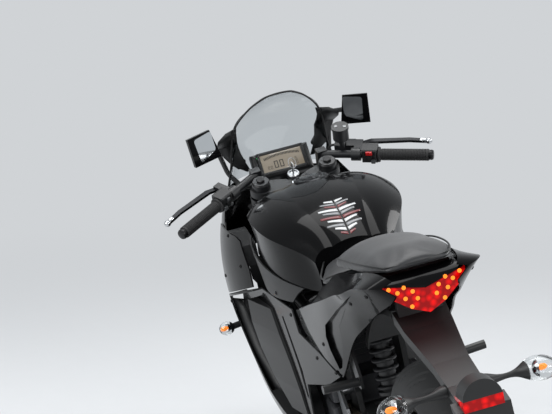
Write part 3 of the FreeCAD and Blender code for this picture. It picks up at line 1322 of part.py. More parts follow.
CARRIER = (
    # x, half width, top, bottom
    (-700, 62, 772, 744),
    (-760, 58, 740, 716),
    (-890, 42, 692, 668),
    (-980, 40, 664, 640),
    (-1062, 46, 652, 632),
)
carrier_spans = [loft([box_section(x, -half, half, bottom, top) for x, half, top, bottom in pair], True)
                 for pair in zip(CARRIER, CARRIER[1:])]
holder = side_plate(((-1052, 652), (-1090, 640), (-1104, 520), (-1100, 520), (-1062, 634)), -60, 60)
carrier_post = block((-720, -702), (-52, 52), (760, 834))
plate_carrier = carrier_spans[0].fuse(carrier_spans[1:] + [holder, carrier_post]).cut(seat_frame)
chassis.append(feature("plate_carrier", plate_carrier))
plate_lamp = block((-1100, -1040), (-44, 44), (640, 664)).fuse(
    Part.makeCylinder(44, 50, Vector(-1100, 0, 660), X).common(block((-1110, -1040), (-50, 50), (650, 720))))
plate_lamp = plate_lamp.cut(plate_carrier)
plate_lamp = largest(plate_lamp)
chassis.append(feature("plate_lamp", plate_lamp))
SIGNAL = (
    # y, centre x, half along, half high: the stalk, then an almond housing, then its rounded lens
    (30, -966, 12, 11), (70, -968, 10, 9), (118, -970, 11, 10), (134, -972, 22, 18), (152, -976, 32, 25),
    (176, -982, 33, 25), (194, -988, 22, 17), (202, -992, 9, 7),
)


def almond(y, x, along, high):
    """Closed oval across the signal's stalk."""
    corners = [Vector(x - along, y, 650), Vector(x, y, 650 + high), Vector(x + along, y, 650), Vector(x, y, 650 - high)]
    lean = 0.72
    arcs = {index: Vector(x + lean * along * sx, y, 650 + lean * high * sz)
            for index, (sx, sz) in enumerate(((-1, 1), (1, 1), (1, -1), (-1, -1)))}
    return section(corners, arcs)


rear_signal = loft([almond(*row) for row in SIGNAL]).cut(plate_carrier)
chassis.append(feature("rear_signals", both_sides(rear_signal)))

# Front fairing: nose shell, stay, lamps, screen, dash and mirrors. Heights as on the upright bike.

NOSE = (
    # z, rear x, rear half, shoulder x, shoulder half, tip x
    (612, 440, 232, 760, 165, 870),
    (650, 440, 232, 790, 165, 905),
    (715, 460, 226, 790, 160, 900),
    (790, 520, 205, 735, 150, 835),
    (862, 600, 165, 680, 110, 742),
)


def nose_section(z, rear_x, rear_half, shoulder_x, shoulder_half, tip_x, inset=0, rear_shift=0):
    """Closed plan section of the nose."""
    rear_half -= inset
    shoulder_half -= inset
    tip_x -= inset
    rear_x -= rear_shift
    mid_x = (rear_x + shoulder_x) / 2
    mid_half = (rear_half + shoulder_half) / 2 + 14
    points = [Vector(rear_x, -rear_half, z), Vector(shoulder_x, -shoulder_half, z),
              Vector(shoulder_x, shoulder_half, z), Vector(rear_x, rear_half, z)]
    arcs = {0: Vector(mid_x, -mid_half, z), 1: Vector(tip_x, 0, z), 2: Vector(mid_x, mid_half, z)}
    return section(points, arcs)


nose_outer = loft([nose_section(*row) for row in NOSE])
nose_inner = loft([nose_section(*row, inset=size.panel, rear_shift=8) for row in
                   ((605,) + NOSE[0][1:],) + NOSE[1:4] + ((870,) + NOSE[4][1:],)])
nose = nose_outer.cut(nose_inner)

SIDE_ROWS = (
    (200, ((560, 136), (300, 160), (-60, 132))),
    (300, ((600, 180), (330, 206), (-40, 160))),
    (400, ((640, 194), (400, 222), (-30, 168))),
    (500, ((700, 194), (470, 234), (0, 172))),
    (600, ((760, 176), (580, 236), (60, 186))),
)
UPPER_ROWS = (
    (560, ((740, 176), (520, 236), (230, 196))),
    (650, ((740, 190), (520, 236), (230, 190))),
    (780, ((640, 196), (500, 216), (230, 176))),
)
UPPER_PROFILE = ((560, 790), (440, 800), (330, 772), (286, 700), (278, 652), (664, 556), (690, 600),
                 (560, 640))
upper_side = curved_panel(UPPER_ROWS, size.panel, UPPER_PROFILE)
upper_side = upper_side.cut(nose_outer)
nose_fairing = nose.fuse(both_sides(upper_side).Solids)
chassis.append(feature("nose_fairing", nose_fairing))

# Side fairings: an outer skin whose trailing edge stands clear of an inner skin, so that air leaves
# through the vent between them, with a raised blade along the inner skin.

INNER_ROWS = (
    (220, ((520, 136), (200, 164), (-100, 146))),
    (340, ((540, 168), (230, 176), (-160, 147))),
    (460, ((560, 192), (240, 181), (-340, 134))),
    (660, ((580, 204), (250, 184), (-340, 138))),
)
OUTER_PROFILE = ((640, 556), (600, 566), (560, 533), (500, 483), (440, 425), (390, 385), (340, 336), (200, 292),
                 (58, 262), (62, 225), (200, 205), (420, 205), (452, 300), (440, 400), (540, 480))
INNER_PROFILE = ((524, 584), (278, 645), (-8, 645), (-26, 585), (-180, 566), (-318, 536), (-200, 486),
                 (2, 437), (22, 330), (56, 258), (200, 288), (344, 333), (440, 420), (500, 478), (560, 530))
VENT_FLOOR = ((346, 336), (200, 291), (58, 261), (58, 256), (200, 286), (346, 331))
VENT_TOP = ((606, 560), (524, 580), (278, 641), (279, 645), (525, 584), (608, 564))
SLOT = ((112, 600), (96, 604), (22, 470), (14, 392), (32, 396), (48, 470))
BLADE = (
    # z, front x, front y, rear x, rear y
    (604, 352, 216, 196, 186),
    (540, 352, 218, 160, 184),
    (470, 330, 213, 112, 180),
    (400, 262, 205, 74, 177),
    (330, 176, 191, 60, 173),
)
outer_space = loft([strip_section(z, corners, 80) for z, corners in SIDE_ROWS])
outer_skin = curved_panel(SIDE_ROWS, size.panel, OUTER_PROFILE)
inner_skin = curved_panel(INNER_ROWS, size.panel, INNER_PROFILE).cut(side_plate(SLOT, 100, 240))
inner_core = loft([strip_section(z, corners, 90) for z, corners in INNER_ROWS])
inner_core.translate(Vector(0, -size.panel / 2, 0))
upper_space = loft([strip_section(z, corners, 120) for z, corners in UPPER_ROWS])
outer_space.translate(Vector(0, -size.panel / 2, 0))
bridges = side_plate(VENT_FLOOR, 150, 260).common(outer_space)
bridges = bridges.fuse(side_plate(VENT_TOP, 178, 260).common(upper_space)).cut(inner_core)
blade = loft([section([Vector(front_x, 120, z), Vector(front_x, front_y, z), Vector(rear_x, rear_y, z),
                       Vector(rear_x, 120, z)]) for z, front_x, front_y, rear_x, rear_y in BLADE], True)
blade = blade.cut(inner_core)
side_panel = largest(outer_skin.fuse([inner_skin, bridges, blade]))
for name, side in SIDES:
    panel = side_panel if side == LEFT else mirrored(side_panel)
    chassis.append(feature(f"side_fairing_{name}", panel))

BELLY = (
    # x, half width, top, bottom
    (384, 128, 208, 190),
    (300, 146, 212, 160),
    (60, 134, 224, 158),
    (-20, 128, 224, 172),
)
belly_outer = loft([box_section(x, -half, half, bottom, top) for x, half, top, bottom in BELLY], True)
belly_inner = loft([box_section(x, -half + 5, half - 5, bottom + 5, top + 30)
                    for x, half, top, bottom in BELLY], True)
belly = belly_outer.cut(belly_inner)
chassis.append(feature("belly_pan", belly.cut(Part.makeCompound([side_panel, mirrored(side_panel)]))))

# Headlamps: two lenses set in the nose, with pods behind them.

lamp_slot = side_plate(((800, 668), (930, 690), (930, 650), (860, 628)), 34, 150)
lens_skin = nose_outer.cut(loft([nose_section(*row, inset=3, rear_shift=8) for row in
                                 ((605,) + NOSE[0][1:],) + NOSE[1:4] + ((870,) + NOSE[4][1:],)]))
nose_piece = next(piece for piece in chassis if piece.Label == "nose_fairing")
slots = both_sides(lamp_slot)
nose_piece.Shape = nose_piece.Shape.cut(slots)
lens = lens_skin.common(lamp_slot)
pod = loft([nose_section(*row, inset=4) for row in NOSE[:3]]).common(
    side_plate(((790, 664), (880, 686), (880, 652), (820, 634)), 38, 130)).cut(lens_skin)
headlamp = lens.fuse(pod).cut(nose_piece.Shape)
headlamp = largest(headlamp)
chassis.append(feature("headlamps", both_sides(headlamp)))

# Fairing stay: a spine from the head tube that carries the dash, the nose and the mirrors.

spine = tube((tuple(on_head(size.head_radius - 4, 0, 812)), (500, 0, 792), (560, 0, 838), (600, 0, 868)), 11, 60)
arms = tube(((620, -196, 838), (596, -120, 856), (590, 0, 858), (596, 120, 856), (620, 196, 838)), 8, 80)
lamp_tube = tube(((560, 0, 838), (640, 0, 760), (780, 0, 700), (884, 0, 690)), 7, 80)
mirror_posts = both_sides(tube(((598, 120, 856), (612, 150, 900), (616, 164, 968)), 7, 60))
stay = spine.fuse([arms, lamp_tube, mirror_posts]).cut(nose_outer.cut(nose_inner)).cut(main_frame)
stay = largest(stay)
chassis.append(feature("fairing_stay", stay))

# Windscreen: a clear sheet bent round the dash.

SCREEN = (
    # z, edge x, edge half, middle x
    (862, 612, 158, 742),
    (920, 584, 142, 682),
    (980, 545, 136, 612),
    (1040, 504, 126, 538),
    (1092, 448, 84, 468),
    (1122, 400, 34, 406),
)
screen_rows = [(z, ((edge_x, -half), (middle_x, 0), (edge_x, half))) for z, edge_x, half, middle_x in SCREEN]


def screen_section(z, edge_x, half, middle_x, thick=4):
    """Thin strip across the bike, bulging ahead."""
    outer = [Vector(edge_x, -half, z), Vector(middle_x, 0, z), Vector(edge_x, half, z)]
    inner = arc_inside(outer, thick)
    return Part.Wire([
        Part.Arc(*outer).toShape(),
        Part.LineSegment(outer[2], inner[2]).toShape(),
        Part.Arc(inner[2], inner[1], inner[0]).toShape(),
        Part.LineSegment(inner[0], outer[0]).toShape(),
    ])


windscreen = loft([screen_section(*row) for row in SCREEN])
windscreen = windscreen.cut(nose_piece.Shape).cut(stay)
chassis.append(feature("windscreen", largest(windscreen)))

# Dash: a tilted instrument panel with its back on the stay.

dash_case = filleted(block((-38, 0), (-84, 84), (-44, 34)), 10, 77)
dash_screen = block((-3, 4), (-62, 62), (-34, 22))
dash = dash_case.fuse(dash_screen)
dash.Placement = Placement(Vector(560, 0, 903), Rotation(Y, 180 + 28))
chassis.append(feature("dash", dash.cut(stay)))

# Mirrors on arms from the stay's posts.

mirror_shell = loft([
    section([Vector(x, -half_w, -half_h), Vector(x, half_w, -half_h), Vector(x, half_w * 0.9, half_h),
             Vector(x, -half_w * 0.8, half_h)]) for x, half_w, half_h in ((0, 41, 41), (14, 41, 40), (34, 24, 22))
], True)
mirror_shell.Placement = Placement(Vector(484, 219, 1014), Rotation(Z, 12) * Rotation(X, -8))
mirror_arm = tube(((500, 205, 1016), (590, 176, 1004), (616, 164, 966)), 7, 30)
mirror = mirror_shell.fuse(mirror_arm).cut(stay)
chassis.append(feature("mirrors", both_sides(mirror)))

# Front turn signals on short stalks from the fairing's flanks.

front_stalk = rod((540, 205, 492), (528, 258, 490), 9)
front_bulb = loft([Part.Wire([Part.makeCircle(radius, Vector(530 - shift, y, 490), Vector(-0.2, 1, 0))])
                   for y, radius, shift in ((250, 13, 0), (266, 20, 2), (286, 9, 6))])
front_signal = front_stalk.fuse(front_bulb)
side_left = next(piece for piece in chassis if piece.Label == "side_fairing_left").Shape
front_signal = largest(front_signal.cut(side_left))
chassis.append(feature("front_signals", both_sides(front_signal)))

# Inner panels between the fairing and the tank.

inner_panel = side_plate(((318, 700), (324, 700), (330, 752), (560, 806), (620, 850), (616, 854), (558, 811),
                          (324, 757)), 164, 226)
inner_panel = inner_panel.cut(nose_piece.Shape).cut(fuel_tank).cut(stay)
inner_panel = inner_panel.common(nose_outer.fuse(upper_space))
chassis.append(feature("inner_panels", both_sides(largest(inner_panel))))

# Place every sub-part in the leaning bike and set the origin under the middle of its box.

GROUPS = (
    (chassis, CHASSIS_POSE),
    (steering, FORK_POSE),
    (front_wheel, FRONT_POSE),
    (rear_wheel, REAR_POSE),
    (side_stand, CHASSIS_POSE),
)
doc.recompute()
for pieces, pose in GROUPS:
    for piece in pieces:
        piece.Placement = pose
doc.recompute()
whole = FreeCAD.BoundBox()
for pieces, pose in GROUPS:
    for piece in pieces:
        whole.add(piece.Shape.optimalBoundingBox(False, False))
to_origin = Placement(Vector(-whole.Center.x, -whole.Center.y, -whole.ZMin), Rotation())
for pieces, pose in GROUPS:
    for piece in pieces:
        piece.Placement = to_origin * piece.Placement
doc.recompute()

for item in doc.Objects:
    if any(word in item.State for word in ("Invalid", "Error")):
        raise RuntimeError(f"{item.Label} did not build")
for pieces, pose in GROUPS:
    for piece in pieces:
        if piece.Shape.isNull() or not piece.Shape.isValid():
            raise RuntimeError(f"{piece.Label} has no valid shape")

os.makedirs("parts", exist_ok=True)
for pieces, pose in GROUPS:
    for piece in pieces:
        piece.Shape.exportStep(f"parts/{piece.Label}.step")
print("box", whole.XLength, whole.YLength, whole.ZLength)
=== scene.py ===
import json
import math

import bmesh
import bpy
from mathutils import Matrix, Vector
from mathutils.bvhtree import BVHTree


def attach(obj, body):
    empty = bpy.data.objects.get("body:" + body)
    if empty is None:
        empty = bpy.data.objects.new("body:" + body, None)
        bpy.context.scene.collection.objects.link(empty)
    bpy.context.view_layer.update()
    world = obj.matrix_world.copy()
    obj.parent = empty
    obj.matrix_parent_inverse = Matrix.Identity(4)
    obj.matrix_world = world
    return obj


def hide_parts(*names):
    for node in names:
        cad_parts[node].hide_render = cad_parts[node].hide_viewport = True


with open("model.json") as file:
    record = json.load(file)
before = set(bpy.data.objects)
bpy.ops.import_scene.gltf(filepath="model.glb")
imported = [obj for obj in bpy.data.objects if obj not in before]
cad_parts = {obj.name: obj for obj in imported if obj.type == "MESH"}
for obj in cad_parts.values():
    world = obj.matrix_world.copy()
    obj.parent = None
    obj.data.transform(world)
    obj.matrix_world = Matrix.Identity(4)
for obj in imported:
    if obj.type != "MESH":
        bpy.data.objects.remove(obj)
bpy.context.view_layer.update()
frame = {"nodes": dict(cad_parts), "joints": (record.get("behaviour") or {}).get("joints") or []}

# Where the bike stands: it leans on its side stand, with the bars turned a little to the left.
# Both frames below come from the hinges, so every piece follows the frame wherever it was packed:
# BIKE is the upright bike's own frame (ground, middle of the wheelbase), FORK the steered fork's,
# and both take millimetres.

HINGES = {joint["name"]: joint for joint in frame["joints"]}
REAR_AXLE_HEIGHT = 0.314
HALF_WHEELBASE = 0.690
STEM_POINT = 0.850
MILLIMETRES = Matrix.Scale(0.001, 4)
MIRRORED = Matrix.Scale(-1, 4, (0, 1, 0))
SIDES = (("left", Matrix()), ("right", MIRRORED))


def hinge_point(name):
    """A hinge's place at rest."""
    return Vector(HINGES[name]["pos_m"])


def frame_from(place, across, up_guess=None, ahead_guess=None):
    """Placement with Y along across, and Z or X as near as can be to the guess."""
    y_axis = Vector(across).normalized()
    if up_guess is not None:
        z_axis = Vector(up_guess).normalized()
        x_axis = y_axis.cross(z_axis).normalized()
    else:
        x_axis = (Vector(ahead_guess) - y_axis * y_axis.dot(Vector(ahead_guess))).normalized()
        z_axis = x_axis.cross(y_axis)
    axes = Matrix((x_axis, y_axis, z_axis)).transposed().to_4x4()
    return Matrix.Translation(place) @ axes


REAR_AXIS = HINGES["rear_wheel_spin"]["axis"]
REAR_WHEEL = frame_from(hinge_point("rear_wheel_spin"), REAR_AXIS, ahead_guess=(1, 0, 0))
BIKE = REAR_WHEEL @ Matrix.Translation((HALF_WHEELBASE, 0, -REAR_AXLE_HEIGHT)) @ MILLIMETRES
REAR_WHEEL = REAR_WHEEL @ MILLIMETRES
FRONT_AXIS = HINGES["front_wheel_spin"]["axis"]
FRONT_WHEEL = frame_from(hinge_point("front_wheel_spin"), FRONT_AXIS, ahead_guess=(1, 0, 0)) @ MILLIMETRES
FORK = frame_from(hinge_point("steering_turn"), FRONT_AXIS, up_guess=HINGES["steering_turn"]["axis"])
FORK = FORK @ Matrix.Translation((0, 0, -STEM_POINT)) @ MILLIMETRES

# Frame, seat frame, swingarm and stand: welded steel tube and pressed arms, powder coated satin black.
# The pieces that carry the bike, from the steering head to the swingarm's forks, have this finish.


def colour(code):
    """Linear colour from an sRGB hex code."""
    channels = [int(code[start:start + 2], 16) / 255 for start in (1, 3, 5)]
    return [value / 12.92 if value < 0.04045 else ((value + 0.055) / 1.055) ** 2.4 for value in channels] + [1]


def add(tree, kind, values=None, links=None, **settings):
    """One node with its settings, its socket values and its incoming links."""
    node = tree.nodes.new(kind)
    for name, value in settings.items():
        setattr(node, name, value)
    for name, value in (values or {}).items():
        node.inputs[name].default_value = value
    for name, source in (links or {}).items():
        tree.links.new(source, node.inputs[name])
    return node


def empty_material(name):
    """A material with nothing but its output, and that output."""
    material = bpy.data.materials.new(name)
    material.use_nodes = True
    material.node_tree.nodes.clear()
    return material, add(material.node_tree, "ShaderNodeOutputMaterial")


def surface(name, base, second, roughness, grain, depth, spread=0.06, broad=90, stretch=(1, 1, 1), **sockets):
    """Finish with two close tones, uneven gloss and a grain; grain, depth and broad are in millimetres.

    A real grain of 0.1 to 0.3 mm is drawn at 0.5 mm and more, because a finer one doesn't show in a render.
    """
    material, output = empty_material(name)
    tree = material.node_tree
    place = add(tree, "ShaderNodeTexCoord")
    scaled = add(tree, "ShaderNodeMapping", {"Scale": stretch}, {"Vector": place.outputs["Object"]})
    where = {"Vector": scaled.outputs[0]}
    fine = add(tree, "ShaderNodeTexNoise", {"Scale": 1000 / grain, "Detail": 4.0}, where)
    patches = add(tree, "ShaderNodeTexNoise", {"Scale": 1000 / broad, "Detail": 3.0}, where)
    mixed = add(tree, "ShaderNodeMath", {1: 0.5}, {0: fine.outputs["Fac"]}, operation="MULTIPLY")
    mixed = add(tree, "ShaderNodeMath", {1: 0.5}, {0: patches.outputs["Fac"], 2: mixed.outputs[0]},
                operation="MULTIPLY_ADD")
    tone = add(tree, "ShaderNodeMix", {6: colour(base), 7: colour(second)}, {0: mixed.outputs[0]},
               data_type="RGBA")
    gloss = add(tree, "ShaderNodeMapRange",
                {"To Min": max(roughness - spread, 0.01), "To Max": roughness + spread},
                {"Value": mixed.outputs[0]})
    bump = add(tree, "ShaderNodeBump", {"Strength": 0.6, "Distance": depth / 1000},
               {"Height": fine.outputs["Fac"]})
    shader = add(tree, "ShaderNodeBsdfPrincipled",
                 {socket.replace("_", " "): value for socket, value in sockets.items()},
                 {"Base Color": tone.outputs[2], "Roughness": gloss.outputs[0], "Normal": bump.outputs[0]})
    tree.links.new(shader.outputs[0], output.inputs["Surface"])
    return material


SHARP = math.radians(32)


def dress(material, *names):
    """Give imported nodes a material, and shade their curved faces smooth."""
    for name in names:
        node = frame["nodes"][name]
        node.data.materials.clear()
        node.data.materials.append(material)
        node.data.polygons.foreach_set("material_index", [0] * len(node.data.polygons))
        node.data.polygons.foreach_set("use_smooth", [True] * len(node.data.polygons))
        node.data.set_sharp_from_angle(angle=SHARP)


# Powder coat: a dark satin with a slight pebble, so lamps spread into wide soft patches.
powder_black = surface("powder_coated_steel", "#131415", "#191a1b", 0.38, 1.6, 0.03)
dress(powder_black, "main_frame", "seat_frame", "swingarm", "passenger_rests", "side_stand")

# Fasteners: zinc plated and black oxide screws, hexagon and socket heads with a collar.
# Every group of them is one joined mesh, set on the surface that it holds down.


def turned(shape, profile, start, direction, steps=20):
    """Add a turned part: rings of (distance along, radius) round an axis from a point."""
    axis = Vector(direction).normalized()
    side = axis.orthogonal().normalized()
    other = axis.cross(side)
    turns = [math.tau * step / steps for step in range(steps)]
    rings = []
    for along, radius in profile:
        centre = Vector(start) + axis * along
        rings.append([shape.verts.new(centre + (side * math.cos(turn) + other * math.sin(turn)) * radius)
                      for turn in turns])
    for near, far in zip(rings, rings[1:]):
        for step in range(steps):
            after = (step + 1) % steps
            shape.faces.new((near[step], near[after], far[after], far[step]))
    shape.faces.new(rings[0][::-1])
    shape.faces.new(rings[-1])


def extruded(shape, corners, offset):
    """Add a prism from a flat outline and the vector to its far side."""
    near = [shape.verts.new(corner) for corner in corners]
    far = [shape.verts.new(Vector(corner) + Vector(offset)) for corner in corners]
    for step in range(len(corners)):
        after = (step + 1) % len(corners)
        shape.faces.new((near[step], near[after], far[after], far[step]))
    shape.faces.new(near[::-1])
    shape.faces.new(far)


def soft_block(shape, low, high, rounding, segments=2):
    """Add a block between two corners with its edges rounded."""
    low, high = Vector(low), Vector(high)
    stretch = Matrix.Translation((low + high) / 2) @ Matrix.Diagonal((*(high - low), 1))
    corners = bmesh.ops.create_cube(shape, size=1, matrix=stretch)["verts"]
    edges = list({edge for corner in corners for edge in corner.link_edges})
    bmesh.ops.bevel(shape, geom=edges, offset=rounding, segments=segments, affect="EDGES", profile=0.5)


def set_in_place(name, shape, placement, body, finish, replaced=()):
    """Turn a shape drawn in millimetres into a piece that rides on its body."""
    shape.transform(placement)
    bmesh.ops.recalc_face_normals(shape, faces=shape.faces)
    mesh = bpy.data.meshes.new(name)
    shape.to_mesh(mesh)
    shape.free()
    for face in mesh.polygons:
        face.use_smooth = True
    mesh.set_sharp_from_angle(angle=SHARP)
    mesh.materials.append(finish)
    piece = bpy.data.objects.new(name, mesh)
    bpy.context.scene.collection.objects.link(piece)
    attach(piece, body)
    if replaced:
        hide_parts(*replaced)
    return piece


TREES = {}


def on_surface(node, start, direction):
    """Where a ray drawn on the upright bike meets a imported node, and the way out of it, in millimetres."""
    if node not in TREES:
        mesh = frame["nodes"][node].data
        TREES[node] = BVHTree.FromPolygons([vertex.co for vertex in mesh.vertices],
                                           [face.vertices for face in mesh.polygons])
    into = (BIKE.to_3x3() @ Vector(direction)).normalized()
    place, normal = TREES[node].ray_cast(BIKE @ Vector(start), into)[:2]
    if place is None:
        return None
    if normal.dot(into) > 0:
        normal = -normal
    return BIKE.inverted() @ place, (BIKE.inverted().to_3x3() @ normal).normalized()


# Zinc plate reads as pale grey metal with a soft shine, black oxide as dark metal with hardly any.
bright_zinc = surface("zinc_plated_steel", "#9b9c9d", "#b2b3b4", 0.28, 0.7, 0.01, Metallic=1.0)
black_oxide = surface("black_oxide_steel", "#1d1d1e", "#2a2a2b", 0.34, 0.6, 0.01, Metallic=0.7)
BUTTON_HEAD = ((-3, 5.2), (0.2, 5.2), (1.4, 4.9), (2.6, 3.7), (3.0, 2.2), (1.6, 2.0), (1.6, 0.2))
HEX_HEAD = ((-2, 6.6), (0.8, 6.6), (0.9, 5.2), (4.6, 5.2), (5.2, 4.4))


def button_screws(name, spots, node, start, direction, finish):
    """Button-head screws where rays from both sides of the bike meet a panel."""
    shape = bmesh.new()
    for side, flip in SIDES:
        for spot in spots:
            found = on_surface(node.format(side=side), flip @ Vector(start(*spot)), flip @ Vector(direction))
            if found:
                turned(shape, BUTTON_HEAD, found[0], found[1], 16)
    set_in_place(name, shape, BIKE, "chassis", finish)


# Engine: die-cast aluminium cases, painted a dark warm grey, with a cast texture under the paint.
# Round covers are held by a ring of zinc screws.

# Paint over a cast skin: dull grey-black with a coarse grain and the faintest metal glint.
cast_grey = surface("painted_die_casting", "#232427", "#2e2f32", 0.46, 1.2, 0.08, Metallic=0.35)
dress(cast_grey, "engine")
COVERS = (
    # x, z, radius of the ring of screws, screws, outer face from the middle, to the left 1 or right -1
    (62, 318, 79, 11, 140, -1),
    (62, 318, 54, 3, 150, -1),
    (186, 306, 63, 9, 146, 1),
    (186, 306, 40, 3, 158, 1),
    (176, 270, 29, 5, 140, -1),
)
FIRST_SCREW = 0.4
screws = bmesh.new()
for x, z, ring, count, reach, side in COVERS:
    for number in range(count):
        turn = math.tau * (number + FIRST_SCREW) / count
        turned(screws, HEX_HEAD, (x + ring * math.cos(turn), side * reach, z + ring * math.sin(turn)),
               (0, side, 0), 6)
set_in_place("engine_screws", screws, BIKE, "chassis", bright_zinc)

# Radiator: an aluminium core, brazed from flat tubes with folded fins between them, between two tanks.
# It stands in front of the engine, and both faces of the core show the tubes and the fins.

# Thin black paint over the fins: matt, with a weak metal glint where it is worn.
radiator_black = surface("radiator_paint", "#17181a", "#202124", 0.5, 1.0, 0.03, Metallic=0.3)
dress(radiator_black, "radiator")
CORE_FOOT, CORE_TILT = (400, 0, 414), 9.5
CORE_WIDTH, CORE_HEIGHT, TUBE_SPACING, FOLD = 250, 194, 11, 2.6
CORE_FACES = (0.4, -24.6)
FIRST_TUBE, TUBE_HALF, FOLD_END = 4, 1.2, 1.4
core_place = BIKE @ Matrix.Translation(CORE_FOOT) @ Matrix.Rotation(math.radians(CORE_TILT), 4, "Y")
half_core = CORE_WIDTH / 2
folds = int(CORE_WIDTH / FOLD)
fins = bmesh.new()
for row in range(int(CORE_HEIGHT / TUBE_SPACING)):
    tube = FIRST_TUBE + row * TUBE_SPACING
    for front in CORE_FACES:
        soft_block(fins, (front - 0.6, -half_core, tube - TUBE_HALF),
                   (front + 0.9, half_core, tube + TUBE_HALF), 0.5, 1)
        strip = [fins.verts.new((front - 0.4 + deep, -half_core + fold * FOLD,
                                 tube + (FOLD_END if fold % 2 else TUBE_SPACING - FOLD_END)))
                 for fold in range(folds) for deep in (0, 1)]
        for fold in range(folds - 1):
            fins.faces.new((strip[2 * fold], strip[2 * fold + 2], strip[2 * fold + 3], strip[2 * fold + 1]))
set_in_place("radiator_fins", fins, core_place, "chassis", radiator_black)

# Exhaust: bent stainless pipes welded into one, and a pressed silencer on a bracket by the right foot rest.
# A brushed liner with a drilled end closes its outlet.

# Stainless that has run hot turns straw to brown in uneven bands and stays a mirror.
hot_steel = surface("heated_stainless", "#6d6257", "#8d7f6c", 0.3, 1.0, 0.01, broad=60, Metallic=1.0)
dress(hot_steel, "exhaust_pipe")
# Heat-proof paint: dull black with a fine even grain.
silencer_black = surface("high_temperature_paint", "#17181a", "#202123", 0.42, 1.1, 0.03)
dress(silencer_black, "muffler")
OUTLET_FROM, OUTLET_TO = Vector((-560, -206, 320)), Vector((-624, -206, 339))
liner = bmesh.new()
turned(liner, ((0, 20.5), (44, 20.5), (47, 24.5), (52, 24.5), (53.5, 22.5), (53, 19), (20, 17.5), (1, 17.5)),
       OUTLET_FROM, OUTLET_TO - OUTLET_FROM, 40)
HOLES_ROUND = 10
for ring in range(3):
    for number in range(HOLES_ROUND):
        turn = math.tau * (number + ring / 2) / HOLES_ROUND
        turned(liner, ((0, 2.2), (1.5, 1.6)), OUTLET_FROM + (OUTLET_TO - OUTLET_FROM).normalized() * 2
               + Vector((0, math.cos(turn), math.sin(turn))) * (4 + 5 * ring), OUTLET_TO - OUTLET_FROM, 8)
# Brushed stainless: clean grey metal, its highlights spread by the brushing.
brushed_steel = surface("brushed_stainless", "#8f9092", "#a9aaab", 0.3, 0.5, 0.02, Metallic=1.0)
set_in_place("silencer_liner", liner, BIKE, "chassis", brushed_steel)

# Wheels: cast aluminium rims in gloss black enamel, baked on.
# A brass valve in a rubber boot is pulled through each rim's well.

# Enamel: a deep black with a wet coat, so the spokes' edges catch thin bright lines.
rim_black = surface("gloss_enamel_rim", "#0b0b0c", "#101112", 0.2, 3.0, 0.01, Coat_Weight=0.6)
dress(rim_black, "front_rim", "rear_rim")
WHEELS = (
    # name, placement, outer radius, half width, crown radius, rim half width, grooves round the tyre
    ("front", FRONT_WHEEL, 293, 55, 58, 42, 26),
    ("rear", REAR_WHEEL, 314, 70, 73, 56, 24),
)
RIM_INSIDE, VALVE_TURN = 203, 0.31
VALVE_WAY = Vector((math.sin(VALVE_TURN), 0, math.cos(VALVE_TURN)))
# Moulded rubber: charcoal with no mirror in it at all.
moulded_rubber = surface("moulded_rubber", "#131314", "#1b1b1c", 0.7, 0.6, 0.05)
for name, place, radius, half, crown, rim_half, grooves in WHEELS:
    valve = bmesh.new()
    turned(valve, ((0, 5.5), (-6, 5.2), (-12, 4.2), (-26, 3.6), (-27, 4.2), (-34, 4.2), (-35, 3.2)),
           VALVE_WAY * RIM_INSIDE + Vector((0, 8, 0)), VALVE_WAY, 14)
    set_in_place(f"{name}_valve", valve, place, f"{name}_wheel", moulded_rubber)

# Tyres: vulcanised rubber, a round tread cut with slanting rain grooves and plain walls.
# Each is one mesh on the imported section; the grooves are 4 mm deep and leave the middle band whole.

TREAD_DEPTH = 4.0
SAMPLES_PER_GROOVE = 28
TREAD_ROWS = 44
BAND_EDGE, TREAD_EDGE = 0.1, 0.9


def groove_depth(turn, across, grooves):
    """How deep the tread is cut at a place: turn from 0 to 1 round the tyre, across from -1 to 1."""
    away = abs(across)
    if not BAND_EDGE < away < TREAD_EDGE:
        return 0.0
    shift = 0.0 if across > 0 else 0.5
    phase = (turn * grooves + shift - 0.62 * away ** 1.4) % 1.0
    ends = min((away - BAND_EDGE) / 0.06, (TREAD_EDGE - away) / 0.08, 1.0)
    long_cut = max(0.0, 1.0 - (abs(phase - 0.5) / 0.055) ** 4)
    short_phase = (phase + 0.5 - 0.25 * away) % 1.0
    short_cut = max(0.0, 1.0 - (abs(short_phase - 0.5) / 0.04) ** 4) if 0.46 < away < 0.84 else 0.0
    return TREAD_DEPTH * max(long_cut, 0.8 * short_cut) * ends


